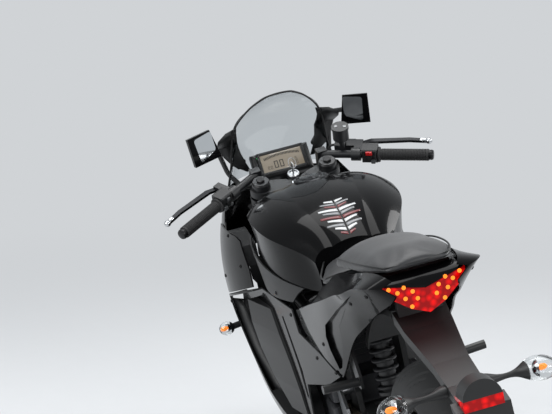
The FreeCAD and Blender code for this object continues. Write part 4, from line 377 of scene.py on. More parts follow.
# Vulcanised rubber: a warm black that scatters light evenly and stays dull at every angle.
tyre_rubber = surface("vulcanised_tread", "#161718", "#202122", 0.78, 0.7, 0.06)
BEAD, LIP = 222.3, 233.0
for name, place, radius, half, crown, rim_half, grooves in WHEELS:
    ring = radius - crown
    widest = math.asin(half / crown)
    section = [(ring + crown * math.cos(angle), crown * math.sin(angle), math.sin(angle) / math.sin(widest))
               for angle in (widest * (2 * row / TREAD_ROWS - 1) for row in range(TREAD_ROWS + 1))]
    shoulder = section[-1][0]
    wall = [(LIP + (shoulder - LIP) * share, rim_half + 3 + (half - rim_half - 3) * share
             + 2.5 * math.sin(math.pi * share), 1) for share in (0.75, 0.5, 0.25, 0.0)]
    beads = [(LIP, rim_half - 1.5, 1), (BEAD, rim_half - 1.5, 1)]
    section = [(r, -y, -1) for r, y, away in (wall + beads)[::-1]] + section + wall + beads
    steps = grooves * SAMPLES_PER_GROOVE
    tyre = bmesh.new()
    rings = []
    for step in range(steps):
        turn = step / steps
        ahead, up = math.sin(math.tau * turn), math.cos(math.tau * turn)
        points = []
        for r, y, away in section:
            r -= groove_depth(turn, away, grooves)
            points.append(tyre.verts.new((r * ahead, y, r * up)))
        rings.append(points)
    for step in range(steps):
        near, far = rings[step], rings[(step + 1) % steps]
        for row in range(len(section)):
            after = (row + 1) % len(section)
            tyre.faces.new((near[row], near[after], far[after], far[row]))
    set_in_place(f"{name}_tread", tyre, place, f"{name}_wheel", tyre_rubber, (f"{name}_tyre",))

# Brakes and chain wheel: ground stainless discs, a toothed steel wheel and painted cast calipers.
# The same black paint is on the yokes, the clamps of the bars and levers, and the rear shock.

# Ground steel: bright grey with a slightly spread highlight from the grinding.
ground_steel = surface("ground_stainless", "#8f9192", "#a8a9aa", 0.3, 0.5, 0.02, Metallic=1.0)
dress(ground_steel, "front_disc", "rear_disc", "rear_sprocket")
# Thick paint on a casting: soft black, smooth enough to show a blurred light.
cast_black = surface("painted_casting", "#17181a", "#1f2022", 0.42, 1.0, 0.05)
dress(cast_black, "lower_yoke", "top_yoke", "clip_ons", "lever_perches", "front_caliper", "rear_caliper",
      "rear_shock")

# Chain: rollers between pressed side plates on riveted pins, in links of five eighths of an inch.
# It runs in one loop round the drive sprocket and the chain wheel.

# Oiled steel: brownish metal, wet-looking in some places and dusty in others.
oiled_steel = surface("oiled_chain_steel", "#4b4640", "#665e54", 0.36, 0.8, 0.02, Metallic=0.9)
PITCH = 15.875
DRIVE, DRIVEN = Vector((-45, 90, 335)), Vector((-690, 90, 314))
DRIVE_TEETH, DRIVEN_TEETH = 14, 43
DRIVE_RADIUS = PITCH / (2 * math.sin(math.pi / DRIVE_TEETH))
DRIVEN_RADIUS = PITCH / (2 * math.sin(math.pi / DRIVEN_TEETH))
run = DRIVEN - DRIVE
along = run.normalized()
above = Vector((along.z, 0, -along.x))
above = above if above.z > 0 else -above
sine = (DRIVEN_RADIUS - DRIVE_RADIUS) / run.length
opening = math.asin(sine)
straight = run.length * math.cos(opening)
small_arc = DRIVE_RADIUS * (math.pi - 2 * opening)
large_arc = DRIVEN_RADIUS * (math.pi + 2 * opening)
loop_length = 2 * straight + small_arc + large_arc


def chain_point(distance):
    """Place on the chain's pitch line, from the drive sprocket's top backwards along the upper run."""
    distance %= loop_length
    top_way = above * math.cos(opening) - along * sine
    low_way = -above * math.cos(opening) - along * sine
    if distance < straight:
        start = DRIVE + top_way * DRIVE_RADIUS
        return start.lerp(DRIVEN + top_way * DRIVEN_RADIUS, distance / straight)
    distance -= straight
    if distance < large_arc:
        turn = distance / DRIVEN_RADIUS
        return DRIVEN + (top_way * math.cos(turn) + (above * sine + along * math.cos(opening))
                         * math.sin(turn)) * DRIVEN_RADIUS
    distance -= large_arc
    if distance < straight:
        start = DRIVEN + low_way * DRIVEN_RADIUS
        return start.lerp(DRIVE + low_way * DRIVE_RADIUS, distance / straight)
    turn = (distance - straight) / DRIVE_RADIUS
    return DRIVE + (low_way * math.cos(turn) + (above * sine - along * math.cos(opening))
                    * math.sin(turn)) * DRIVE_RADIUS


PLATE_END, PLATE_WAIST, PLATE = 6.6, 4.9, 1.5
INNER_PLATES, OUTER_PLATES = 4.4, 6.4
links = 2 * round(loop_length / PITCH / 2)
chain = bmesh.new()
for number in range(links):
    pin, next_pin = (chain_point(loop_length * (number + step) / links) for step in (0, 1))
    way = (next_pin - pin).normalized()
    up = Vector((0, 1, 0)).cross(way)
    outline = []
    for centre, ahead in ((next_pin, way), (pin, -way)):
        rise = up if ahead is way else -up
        outline += [centre + ahead * PLATE_END * math.cos(turn) - rise * PLATE_END * math.sin(turn)
                    for turn in (-1.57, -0.9, -0.3, 0.3, 0.9, 1.57)]
        outline.append(centre - ahead * (next_pin - pin).length / 2 - rise * PLATE_WAIST)
    inside = INNER_PLATES if number % 2 else OUTER_PLATES
    for side in (1, -1):
        extruded(chain, [corner + Vector((0, side * inside, 0)) for corner in outline], (0, side * PLATE, 0))
    turned(chain, ((-4.2, 5), (4.2, 5)), pin, (0, 1, 0), 12)
    turned(chain, ((-8.7, 2.4), (8.7, 2.4)), pin, (0, 1, 0), 8)
set_in_place("chain_links", chain, BIKE, "chassis", oiled_steel, ("chain",))

# Axle nuts: forged steel hexagons with a collar, zinc plated.
# One is on each end of the rear axle, tight against its chain adjuster.

nuts = bmesh.new()
for side in (1, -1):
    turned(nuts, ((0, 17), (2.5, 17), (2.6, 13.6), (15, 13.6), (16, 12), (16.1, 8.5), (20, 8.5), (20.5, 7.5)),
           (-1000 * HALF_WHEELBASE, side * 131, 1000 * REAR_AXLE_HEIGHT), (0, side, 0), 6)
set_in_place("rear_axle_nuts", nuts, BIKE, "chassis", bright_zinc)

# Fork: painted aluminium outer tubes over hard-chromed legs, held by both yokes.
# A screwed cap with a hexagon for the preload closes each tube.

# Paint on turned tube: grey-black, with one long highlight down its length.
fork_paint = surface("painted_fork_tube", "#1d1e20", "#27282a", 0.3, 1.0, 0.01, Metallic=0.3)
dress(fork_paint, "fork_outer_left", "fork_outer_right")
# Hard chrome: a nearly perfect cold mirror.
hard_chrome = surface("hard_chrome", "#b9bbbd", "#c4c6c8", 0.08, 2.0, 0.002, spread=0.03, Metallic=1.0)
dress(hard_chrome, "fork_lower_left", "fork_lower_right", "front_axle", "stem_nut")
FORK_AHEAD, FORK_HALF, FORK_TOP = 37.7, 98, 976
caps = bmesh.new()
for side in (1, -1):
    tube_top = (FORK_AHEAD, side * FORK_HALF, FORK_TOP)
    turned(caps, ((-1, 24), (1.5, 24), (3.5, 22), (4, 17.5), (4.1, 12.7)), tube_top, (0, 0, 1), 32)
    turned(caps, ((4, 12.2), (11, 12.2), (12.5, 10.8)), tube_top, (0, 0, 1), 6)
set_in_place("fork_caps", caps, FORK, "steering", black_oxide)

# Ignition: a steel lock barrel, screwed into the top yoke ahead of the stem nut.
# Its key is stamped from steel plate and carries a split ring.

LOCK_AHEAD, LOCK_TOP, RING_HEIGHT = 46, 962, 1003
KEY_OUTLINE = ((-4, 0), (4, 0), (4, 12), (11, 16), (12, 28), (7, 36), (-7, 36), (-12, 28), (-11, 16), (-4, 12))
KEY_HALF, RING_WIRE, RING_STEPS = 1.2, 1.1, 24
lock = bmesh.new()
turned(lock, ((-4, 17), (6, 17), (8, 15.5), (8.2, 12), (5.5, 11.6), (5.5, 1)), (LOCK_AHEAD, 0, LOCK_TOP),
       (0, 0, 1), 32)
extruded(lock, [(LOCK_AHEAD + across, -KEY_HALF, LOCK_TOP + 5 + rise) for across, rise in KEY_OUTLINE],
         (0, 2 * KEY_HALF, 0))
RING_MIDDLE = Vector((LOCK_AHEAD, 0, RING_HEIGHT))
RING_REACH, RING_ACROSS = Vector((12, 0, 9)), Vector((0, 10, 0))
ring_points = [RING_MIDDLE + RING_REACH * math.cos(angle) + RING_ACROSS * math.sin(angle)
               for angle in (math.tau * step / RING_STEPS for step in range(RING_STEPS + 1))]
for near, far in zip(ring_points, ring_points[1:]):
    turned(lock, ((-0.2, RING_WIRE), ((far - near).length + 0.2, RING_WIRE)), near, far - near, 6)
set_in_place("ignition_key", lock, FORK, "steering", brushed_steel)

# Handlebar grips: rubber sleeves pushed on the bars, moulded with ribs all round and a flange inside.
# A steel weight is screwed into each bar's end.

dress(moulded_rubber, "brake_hose")
BAR_SWEEP = 30
GRIP_LENGTH = (356 - 236) / math.cos(math.radians(BAR_SWEEP))
LEFT_BAR = Matrix.Translation((-69, 356, 976)) @ Matrix.Rotation(math.radians(180 + BAR_SWEEP), 4, "Z")
RIBS, RIB_SPACING, RIB_TOP, RIB_FOOT = 30, 4.2, 16.5, 15.3
grip_shape = bmesh.new()
bar_ends = bmesh.new()
for side, flip in SIDES:
    bar = flip @ LEFT_BAR
    profile = [(0, 12.6), (0, 16.2)]
    for rib in range(RIBS):
        start = 4 + rib * RIB_SPACING
        profile += [(start, RIB_TOP), (start + 2.3, RIB_TOP), (start + 2.8, RIB_FOOT), (start + 3.7, RIB_FOOT)]
    profile += [(GRIP_LENGTH - 6, RIB_TOP), (GRIP_LENGTH - 5, 20.5), (GRIP_LENGTH - 4, 21.4),
                (GRIP_LENGTH, 21.4), (GRIP_LENGTH, 12.6)]
    inwards = bar.to_3x3() @ Vector((0, 1, 0))
    end = bar @ Vector((0, 0, 0))
    turned(grip_shape, profile, end, inwards, 40)
    turned(bar_ends, ((-14, 9), (-13, 12.4), (-9, 14.4), (-5, 14.4), (-4.6, 13.4), (-3.6, 13.4), (-3.2, 14.4),
                      (-0.3, 14.4), (0.5, 12)), end, inwards, 32)
set_in_place("ribbed_grips", grip_shape, FORK, "steering", moulded_rubber, ("grips",))
set_in_place("bar_ends", bar_ends, FORK, "steering", black_oxide)

# Switches: split polypropylene housings, clamped round the bars beside the grips, with moulded buttons.
# The rocker that stops the engine is red and ribbed.

# Moulded polypropylene: greyish black with a spark-eroded texture that breaks up every highlight.
matt_plastic = surface("moulded_polypropylene", "#111213", "#191a1b", 0.5, 0.9, 0.05)
dress(matt_plastic, "switchgear", "dash", "inner_mudguard", "plate_carrier", "inner_panels", "tank_trims",
      "fairing_stay")
SWITCH_START = GRIP_LENGTH + 1
# Smooth coloured ABS: even tones with a soft moulded shine.
stop_red = surface("red_abs_rocker", "#b01418", "#c41c20", 0.35, 0.8, 0.01)
button_grey = surface("grey_abs_buttons", "#3a3c3e", "#46484a", 0.45, 0.8, 0.01)
HOUSING_FACE, BUTTON_TOP = 14, 22
ROCKER_RIBS, ROCKER_RIB_SPACING = 4, 3.4


def merged_block(shape, placement, low, high, rounding, segments=2):
    """Add a rounded block drawn in a frame of its own."""
    block = bmesh.new()
    soft_block(block, low, high, rounding, segments)
    block.transform(placement)
    spare = bpy.data.meshes.new("block")
    block.to_mesh(spare)
    block.free()
    shape.from_mesh(spare)


rocker = bmesh.new()
buttons = bmesh.new()
soft_block(rocker, (HOUSING_FACE, SWITCH_START + 14, 10), (21, SWITCH_START + 32, 21), 1.6)
for number in range(ROCKER_RIBS):
    rib = SWITCH_START + 17 + ROCKER_RIB_SPACING * number
    soft_block(rocker, (20, rib, 11.5), (BUTTON_TOP, rib + 1.6, 19.5), 0.6)
set_in_place("stop_switch", rocker, FORK @ MIRRORED @ LEFT_BAR, "steering", stop_red)
LEFT_BUTTONS, RIGHT_BUTTONS = ((10, -10, 6), (24, 12, 5), (34, -10, 4)), ((12, -11, 6),)
for bar, spots in ((LEFT_BAR, LEFT_BUTTONS), (MIRRORED @ LEFT_BAR, RIGHT_BUTTONS)):
    for across, high, half in spots:
        middle = SWITCH_START + across
        merged_block(buttons, bar, (HOUSING_FACE, middle - half, high - half),
                     (BUTTON_TOP, middle + half, high + half), 1.8)
set_in_place("switch_buttons", buttons, FORK, "steering", button_grey)

# Levers: forged aluminium blades on a pivot screw, anodised black.
# The ball at each tip is bare and polished.

# Black anodising: a dark metal that keeps a satin gleam.
anodised_black = surface("anodised_aluminium", "#1c1d1f", "#27282a", 0.32, 0.6, 0.01, Metallic=0.8)
dress(anodised_black, "levers")
# Polished aluminium: a soft white mirror.
polished_alloy = surface("polished_aluminium", "#b4b6b8", "#c6c8ca", 0.14, 1.5, 0.003, spread=0.04,
                         Metallic=1.0)
BALL, BALL_STEPS = 9.2, 12
tips = bmesh.new()
for side, flip in SIDES:
    bar = flip @ LEFT_BAR
    centre = bar @ Vector((-66, 6, -1))
    way = bar.to_3x3() @ Vector((0.15, -1, 0))
    half_turn = [math.pi * step / BALL_STEPS for step in range(BALL_STEPS + 1)]
    ball = [(-BALL * math.cos(angle), max(BALL * math.sin(angle), 0.1)) for angle in half_turn]
    turned(tips, ball, centre, way, 28)
    turned(tips, ((-24, 6.6), (-22, 7.2), (-10, 7.2), (-7, 6.0)), centre, way, 24)
set_in_place("lever_tips", tips, FORK, "steering", polished_alloy)

# Fluid cup: the brake fluid's moulded cup above the right lever.
# Its lid is held by two zinc screws.

CUP_MIDDLE, CUP_TOP = SWITCH_START + 100, 90
cup_screws = bmesh.new()
for across in (-12, 12):
    turned(cup_screws, BUTTON_HEAD, (-6, CUP_MIDDLE + across, CUP_TOP), (0, 0, 1), 14)
set_in_place("cup_screws", cup_screws, FORK @ MIRRORED @ LEFT_BAR, "steering", bright_zinc)

# Foot rests: aluminium hanger plates, machined from plate, with turned pegs.
# They are bolted to the frame behind the engine.

# Machined aluminium: light grey metal with fine tool marks that spread its shine.
alloy = surface("machined_alloy", "#7b7d80", "#919396", 0.33, 0.6, 0.02, Metallic=1.0)
dress(alloy, "foot_rests")

# Bodywork: injection-moulded ABS, sprayed gloss black and lacquered, so it works as a dark mirror.
# The panels are screwed to each other and to tabs on the frame.

# The lacquer shows as a hard clear coat over a nearly black base, with a very faint orange peel.
gloss_black = surface("lacquered_abs_black", "#040405", "#070708", 0.22, 5.0, 0.004, spread=0.03,
                      Specular_IOR_Level=0.03, Coat_Weight=0.36, Coat_Roughness=0.02, Coat_IOR=1.35)
dress(gloss_black, "fuel_tank", "tail_cowl_left", "tail_cowl_right", "nose_fairing", "side_fairing_left",
      "side_fairing_right", "belly_pan", "front_mudguard", "mirrors")
# The fairing shells are left bare inside: moulded ABS, black and matt, with no lacquer.
INSIDE_BELOW = 0.12
for side, flip in SIDES:
    outwards = (BIKE.to_3x3() @ flip.to_3x3() @ Vector((0, 1, 0))).normalized()
    shell = frame["nodes"][f"side_fairing_{side}"].data
    shell.materials.append(matt_plastic)
    for face in shell.polygons:
        face.material_index = 1 if face.normal.dot(outwards) < INSIDE_BELOW else 0
PANEL_SCREWS = (
    # name, node, screws as (x, z) seen from the side
    ("fairing_screws", "side_fairing_{side}", ((470, 330), (250, 232), (100, 236), (590, 545), (-150, 545),
                                               (12, 625), (262, 628), (-292, 540))),
    ("nose_screws", "nose_fairing", ((430, 770), (520, 640), (340, 700), (620, 815))),
    ("cowl_screws", "tail_cowl_{side}", ((-60, 630), (-250, 606), (-640, 800), (-760, 840))),
    ("trim_screws", "tank_trims", ((84, 672), (258, 740))),
)
BESIDE = 420
for name, node, spots in PANEL_SCREWS:
    button_screws(name, spots, node, lambda x, z: (x, BESIDE, z), (0, -1, 0), black_oxide)

# Cowl top: the moulded lid that closes the tail between the passenger's pad and the lamp.
# It is sprayed with the cowls and tucks under the pad in front and under both cowls at its sides.

LID_ROWS = (
    # x, height in the middle, rise to the sides
    (-738, 872.0, 1), (-768, 873.0, 1), (-784, 868.0, 5), (-794, 861.0, 10),
    (-802, 852.0, 17), (-807, 842.5, 23), (-808.5, 839.0, 24), (-805, 838.5, 24),
)
LID_HALF, LID_STEPS = 92, 12


def skin(shape, rows):
    """Join rows of corners to one surface."""
    for near, far in zip(rows, rows[1:]):
        for step in range(len(near) - 1):
            shape.faces.new((near[step], near[step + 1], far[step + 1], far[step]))


def thickened(piece, wall, offset=-1):
    """Give a surface a wall thickness in millimetres, inwards or to both sides."""
    solid = piece.modifiers.new("wall", "SOLIDIFY")
    solid.thickness = wall / 1000
    solid.offset = offset


lid = bmesh.new()
skin(lid, [[lid.verts.new((x, LID_HALF * step / LID_STEPS, middle + rise * abs(step / LID_STEPS)))
            for step in range(-LID_STEPS, LID_STEPS + 1)] for x, middle, rise in LID_ROWS])
thickened(set_in_place("cowl_top", lid, BIKE, "chassis", gloss_black), 2.5)

# Cockpit wings: matt black covers that close the fairing beside the screen, each with its wiring boot.
# They bend forwards below the mirrors, where the levers swing past them at full lock.

WING_ROWS = (
    # the inner edge's x, half width and height, then the outer edge's
    ((514, 116, 1040), (500, 150, 1034)), ((520, 118, 1020), (494, 176, 1018)),
    ((540, 116, 1002), (520, 177, 1002)), ((568, 113, 984), (568, 170, 984)),
    ((573, 108, 955), (573, 158, 955)), ((580, 99, 925), (578, 138, 925)), ((592, 88, 897), (590, 100, 897)),
)
BOOT_TILT = Matrix.Rotation(math.radians(-38), 4, "X") @ Matrix.Rotation(math.radians(-12), 4, "Y")
BOOT_PLACE = Matrix.Translation((588, 124, 938)) @ BOOT_TILT
wings = bmesh.new()
for side, flip in SIDES:
    skin(wings, [[wings.verts.new(flip @ Vector(inner).lerp(Vector(outer), share)) for share in (0, 0.5, 1)]
                 for inner, outer in WING_ROWS])
    merged_block(wings, flip @ BOOT_PLACE, (-9, -17, -26), (9, 17, 26), 5, 3)
thickened(set_in_place("cockpit_wings", wings, BIKE, "chassis", matt_plastic), 2)

# Vent baffles: matt black liners of the side vents, from the inner skin's front edge to the outer skin,
# and a cover under each shoulder of the fairing, so that no daylight shows past the radiator.

BAFFLE = (
    # height, then x and y at the inner skin and at the outer skin
    (326, 312, 173, 370, 209), (350, 345, 176, 402, 212), (380, 378, 179, 416, 214), (410, 415, 182, 445, 218),
    (440, 452, 186, 470, 221), (470, 470, 189, 500, 222), (500, 505, 192, 538, 223), (530, 545, 196, 575, 222),
    (552, 556, 197, 596, 221),
)
COVER_AHEAD = 350
SHOULDER_COVER = ((125, 585), (181, 585), (181, 640), (190, 655), (190, 712), (125, 712))
baffles = bmesh.new()
for side, flip in SIDES:
    skin(baffles, [[baffles.verts.new(flip @ Vector((x_in, y_in, z)).lerp(Vector((x_out, y_out, z)), share))
                    for share in (0, 0.5, 1)] for z, x_in, y_in, x_out, y_out in BAFFLE])
    cover = [flip @ Vector((COVER_AHEAD, half, height)) for half, height in SHOULDER_COVER]
    extruded(baffles, cover, (2, 0, 0))
thickened(set_in_place("vent_baffles", baffles, BIKE, "chassis", matt_plastic), 1.5)

# Filler: a cast ring, held down by seven screws, round a hinged flap with its own lock cover.
# It sits on the tank's top, in front of the pad.

FILLER_SCREWS, SCREW_RING = 7, 39
filler = bmesh.new()
FILLER_BASE, FILLER_AXIS = Vector((206, 0, 914)), Vector((0.02, 0, 1))
FLAP_PROFILE = ((0, 47), (3, 47), (5.5, 44.5), (6, 33), (4.4, 32.2), (4.4, 31.2), (7.4, 30.6), (8.6, 28),
                (9.0, 1))
turned(filler, FLAP_PROFILE, FILLER_BASE, FILLER_AXIS, 64)
soft_block(filler, (178, -8, 920), (206, 8, 925.5), 2.2)
for number in range(FILLER_SCREWS):
    turn = math.tau * number / FILLER_SCREWS
    screw = FILLER_BASE + Vector((SCREW_RING * math.cos(turn), SCREW_RING * math.sin(turn), 5.5))
    turned(filler, BUTTON_HEAD, screw, FILLER_AXIS, 14)
# Dark satin chrome: a metal gleam without a clear picture in it.
satin_chrome = surface("satin_chrome", "#2c2d2f", "#3a3b3d", 0.25, 0.8, 0.008, Metallic=0.9)
set_in_place("filler_flap", filler, BIKE, "chassis", satin_chrome)

# Tank pad: a printed vinyl film, stuck behind the filler where a belt buckle would scratch the lacquer.
# Its print is a plain fishbone of slanting bars; the film is drawn 0.5 mm thick so that it shows.

PAD_BARS = (
    # finish, distance back along the tank, half length, half width, slant
    ("white", -22, 22, 5.0, 8), ("grey", -35, 35, 4.6, 12), ("red", -47, 27, 4.4, 12),
    ("white", -60, 47, 5.4, 15), ("grey", -74, 39, 5.0, 15), ("red", -87, 50, 5.0, 15),
    ("white", -100, 36, 4.6, 13), ("grey", -112, 43, 4.6, 12), ("white", -123, 26, 4.4, 10),
    ("red", -134, 17, 3.8, 7),
)
PAD_STEPS, SPINE_GAP, TAPER, ABOVE_TANK = 8, 2.5, 0.45, 1100
# Printed vinyl: flat even inks under a clear film that shines.
PAD_FINISHES = {
    "white": surface("white_vinyl_ink", "#c9cbcd", "#d8dadb", 0.35, 1.0, 0.004, Coat_Weight=0.6),
    "grey": surface("grey_vinyl_ink", "#77797c", "#8a8c8f", 0.35, 1.0, 0.004, Coat_Weight=0.6),
    "red": surface("dark_red_vinyl_ink", "#5e1418", "#74191e", 0.35, 1.0, 0.004, Coat_Weight=0.6),
}
for ink, finish in PAD_FINISHES.items():
    pad = bmesh.new()
    for bar_ink, back, length, width, slant in PAD_BARS:
        for side in (1, -1):
            if bar_ink != ink:
                continue
            grid = []
            for step in range(PAD_STEPS + 1):
                share = step / PAD_STEPS
                across = side * (SPINE_GAP + length * share)
                along_tank = [back + slant * share + edge * width * (1 - TAPER * share) for edge in (-1, 0, 1)]
                hits = [on_surface("fuel_tank", (x, across, ABOVE_TANK), (0, 0, -1)) for x in along_tank]
                grid.append([pad.verts.new(hit[0] + hit[1] * 0.5) for hit in hits])
            skin(pad, grid)
    thickened(set_in_place(f"tank_pad_{ink}", pad, BIKE, "chassis", finish), 0.5, 0)

# Seats: foam pads under seat vinyl with a fine leather grain, a welt sewn round the top panel.
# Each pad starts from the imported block, is blown up a little as cloth and gets its welt afterwards.

# Seat vinyl: charcoal with a leather grain that breaks the light into a broad soft sheen.
seat_vinyl = surface("seat_vinyl", "#1b1c1e", "#2a2b2d", 0.46, 1.3, 0.12, spread=0.1, broad=60,
                     Sheen_Weight=0.12, Sheen_Roughness=0.4)
# The welt's smoother vinyl looks darker and outlines each pad.
welt_vinyl = surface("welt_vinyl", "#0e0f10", "#151617", 0.5, 0.9, 0.05)
UP = (BIKE.to_3x3() @ Vector((0, 0, 1))).normalized()
PRESSURE, CLOTH_FRAMES, BASE_FACES_DOWN = 4.0, 20, -0.4


def evaluated_mesh(piece):
    """The piece's mesh as its modifiers leave it."""
    return bpy.data.meshes.new_from_object(piece.evaluated_get(bpy.context.evaluated_depsgraph_get()))


def blown_pad(name, node, voxel=0.005, start_in=0.002, cap=0.005, smoothing=20):
    """Seat pad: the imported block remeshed, swollen as cloth with its base held, and smoothed."""
    pad = bpy.data.objects.new(name, frame["nodes"][node].data.copy())
    bpy.context.scene.collection.objects.link(pad)
    remesh = pad.modifiers.new("remesh", "REMESH")
    remesh.mode = "VOXEL"
    remesh.voxel_size = voxel
    mesh = evaluated_mesh(pad)
    pad.modifiers.clear()
    pad.data = mesh
    shape = bmesh.new()
    shape.from_mesh(mesh)
    for repeat in range(3):
        bmesh.ops.smooth_vert(shape, verts=shape.verts, factor=0.5,
                              use_axis_x=True, use_axis_y=True, use_axis_z=True)
    shape.normal_update()
    for vertex in shape.verts:
        vertex.co -= vertex.normal * start_in
    shape.to_mesh(mesh)
    shape.free()
    starts = [vertex.co.copy() for vertex in mesh.vertices]
    base = pad.vertex_groups.new(name="base")
    base.add([vertex.index for vertex in mesh.vertices if vertex.normal.dot(UP) < BASE_FACES_DOWN], 1.0,
             "REPLACE")
    cloth = pad.modifiers.new("cloth", "CLOTH")
    cloth.settings.vertex_group_mass = "base"
    cloth.settings.use_pressure = True
    cloth.settings.uniform_pressure_force = PRESSURE
    cloth.settings.effector_weights.gravity = 0.0
    cloth.settings.quality = 4
    for number in range(1, CLOTH_FRAMES + 1):
        bpy.context.scene.frame_set(number)
    swollen = evaluated_mesh(pad)
    for vertex, start in zip(swollen.vertices, starts):
        move = vertex.co - start
        vertex.co = start + move.normalized() * min(move.length, cap)
    pad.modifiers.clear()
    pad.vertex_groups.clear()
    pad.data = swollen
    bpy.context.scene.frame_set(1)
    smooth = pad.modifiers.new("smooth", "CORRECTIVE_SMOOTH")
    smooth.use_only_smooth = True
    smooth.iterations = smoothing
    pad.modifiers.new("finer", "SUBSURF").levels = 1
    pad.modifiers["finer"].render_levels = 1
    for face in pad.data.polygons:
        face.use_smooth = True
    pad.data.materials.clear()
    pad.data.materials.append(seat_vinyl)
    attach(pad, "chassis")
    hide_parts(node)
    return pad


def welt(name, points, radius, finish, closed=True, body="chassis", place=BIKE):
    """A round bead along a smooth line through points in millimetres."""
    curve = bpy.data.curves.new(name, "CURVE")
    curve.dimensions = "3D"
    curve.bevel_depth = radius / 1000
    curve.bevel_resolution = 3
    line = curve.splines.new("NURBS")
    line.points.add(len(points) - 1)
    for point, corner in zip(line.points, points):
        point.co = (*(place @ Vector(corner)), 1)
    line.use_cyclic_u = closed
    line.order_u = 3
    line.use_endpoint_u = not closed
    line.resolution_u = 6
    curve.materials.append(finish)
    bead = bpy.data.objects.new(name, curve)
    bpy.context.scene.collection.objects.link(bead)
    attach(bead, body)
    return bead


blown_pad("rider_pad", "rider_seat")
blown_pad("passenger_pad", "passenger_seat")
WELTS = (
    # name, then (x, half width, height) from the pad's front to its rear
    ("rider_welt", ((-128, 76, 782), (-170, 92, 773), (-260, 121, 773), (-340, 126, 787), (-366, 119, 800))),
    ("passenger_welt", ((-350, 74, 829), (-380, 95, 841), (-500, 111, 868), (-640, 107, 886), (-750, 89, 898),
                        (-786, 70, 895))),
)
WELT_RADIUS = 2.2
for name, rows in WELTS:
    right_side = tuple((x, -half, z) for x, half, z in rows[::-1])
    welt(name, rows + right_side, WELT_RADIUS, welt_vinyl)

# Tail lamp: a red acrylic lens, moulded with fine ribs and welded to its housing under the cowl's top.
# Diodes are lit in small cups behind both of its arms.

# Lit red acrylic glows unevenly, because the light spreads from the diodes, and stays deep red between them.
red_lens, red_output = empty_material("lit_red_acrylic")
tree = red_lens.node_tree
place = add(tree, "ShaderNodeTexCoord")
CELL, LENS_RIB = 16, 24
cells = add(tree, "ShaderNodeTexVoronoi", {"Scale": 1000 / CELL}, {"Vector": place.outputs["Object"]})
glow = add(tree, "ShaderNodeMapRange", {"From Max": 0.62, "To Min": 1.0, "To Max": 0.18},
           {"Value": cells.outputs["Distance"]})
ribs = add(tree, "ShaderNodeTexWave", {"Scale": 1000 / LENS_RIB, "Distortion": 0.5},
           {"Vector": place.outputs["Object"]})
bump = add(tree, "ShaderNodeBump", {"Strength": 0.3, "Distance": 0.0003}, {"Height": ribs.outputs["Fac"]})
lens_shader = add(tree, "ShaderNodeBsdfPrincipled",
                  {"Base Color": colour("#7c0205"), "Roughness": 0.16, "Specular IOR Level": 0.15,
                   "Coat Weight": 0.25, "Coat Roughness": 0.02, "Emission Color": colour("#ff0b08")},
                  {"Emission Strength": glow.outputs[0], "Normal": bump.outputs[0]})
tree.links.new(lens_shader.outputs[0], red_output.inputs["Surface"])
lens = bpy.data.objects.new("tail_lens", frame["nodes"]["tail_lamp"].data.copy())
bpy.context.scene.collection.objects.link(lens)
lens.data.materials.clear()
lens.data.materials.append(red_lens)
edges = lens.modifiers.new("edges", "BEVEL")
edges.width = 0.0022
edges.segments = 3
edges.limit_method = "ANGLE"
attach(lens, "chassis")
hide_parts("tail_lamp")


def lit(name, code, strength):
    """Finish of a small part that gives off plain light."""
    material, output = empty_material(name)
    light = add(material.node_tree, "ShaderNodeEmission", {"Color": colour(code), "Strength": strength})
    material.node_tree.links.new(light.outputs[0], output.inputs["Surface"])
    return material


# A lit diode is an orange dot that outshines the lens.
diode_glow = lit("lit_diode", "#ff8a30", 1.7)
LENS_FACE = -807.6
DIODES = ((82, 855), (64, 843), (48, 851), (49, 826), (38, 805), (30, 838), (22, 820))
diodes = bmesh.new()
for y, z in DIODES:
    for side in (1, -1):
        turned(diodes, ((-1, 4.8), (0.3, 4.8), (1.0, 4.0), (1.5, 2.4), (1.8, 0.2)), (LENS_FACE, side * y, z),
               (-1, 0, 0), 18)
set_in_place("tail_diodes", diodes, BIKE, "chassis", diode_glow)

# Turn signals: an almond-shaped head on a flexible black stalk, screwed to the carrier or the fairing.
# Behind its clear lens an amber bulb sits in a bright bowl.

# Clear polycarbonate: a colourless shell that only its highlights and dark edges show.
clear_lens, clear_output = empty_material("clear_polycarbonate")
clear_shader = add(clear_lens.node_tree, "ShaderNodeBsdfPrincipled",
                   {"Base Color": colour("#e6e9ea"), "Roughness": 0.04, "Transmission Weight": 1.0, "IOR": 1.12,
                    "Coat Weight": 1.0, "Coat Roughness": 0.02})
clear_lens.node_tree.links.new(clear_shader.outputs[0], clear_output.inputs["Surface"])
# Amber glass glows a little, as if the light just caught it; the bowl behind it is a white mirror.
amber_bulb = surface("amber_bulb_glass", "#e07a18", "#f08c28", 0.15, 2.0, 0.002,
                     Emission_Color=colour("#ff8a20"), Emission_Strength=0.7)
bright_bowl = surface("aluminised_reflector", "#c5c7c9", "#d3d5d7", 0.12, 1.5, 0.002, spread=0.04, Metallic=1.0)


def split_by_place(node, housing, lens_finish, is_lens):
    """Give a packed lamp two finishes, by where each face lies on the upright bike."""
    dress(housing, node)
    mesh = frame["nodes"][node].data
    mesh.materials.append(lens_finish)
    inverse = BIKE.inverted()
    for face in mesh.polygons:
        face.material_index = 1 if is_lens(inverse @ face.center) else 0


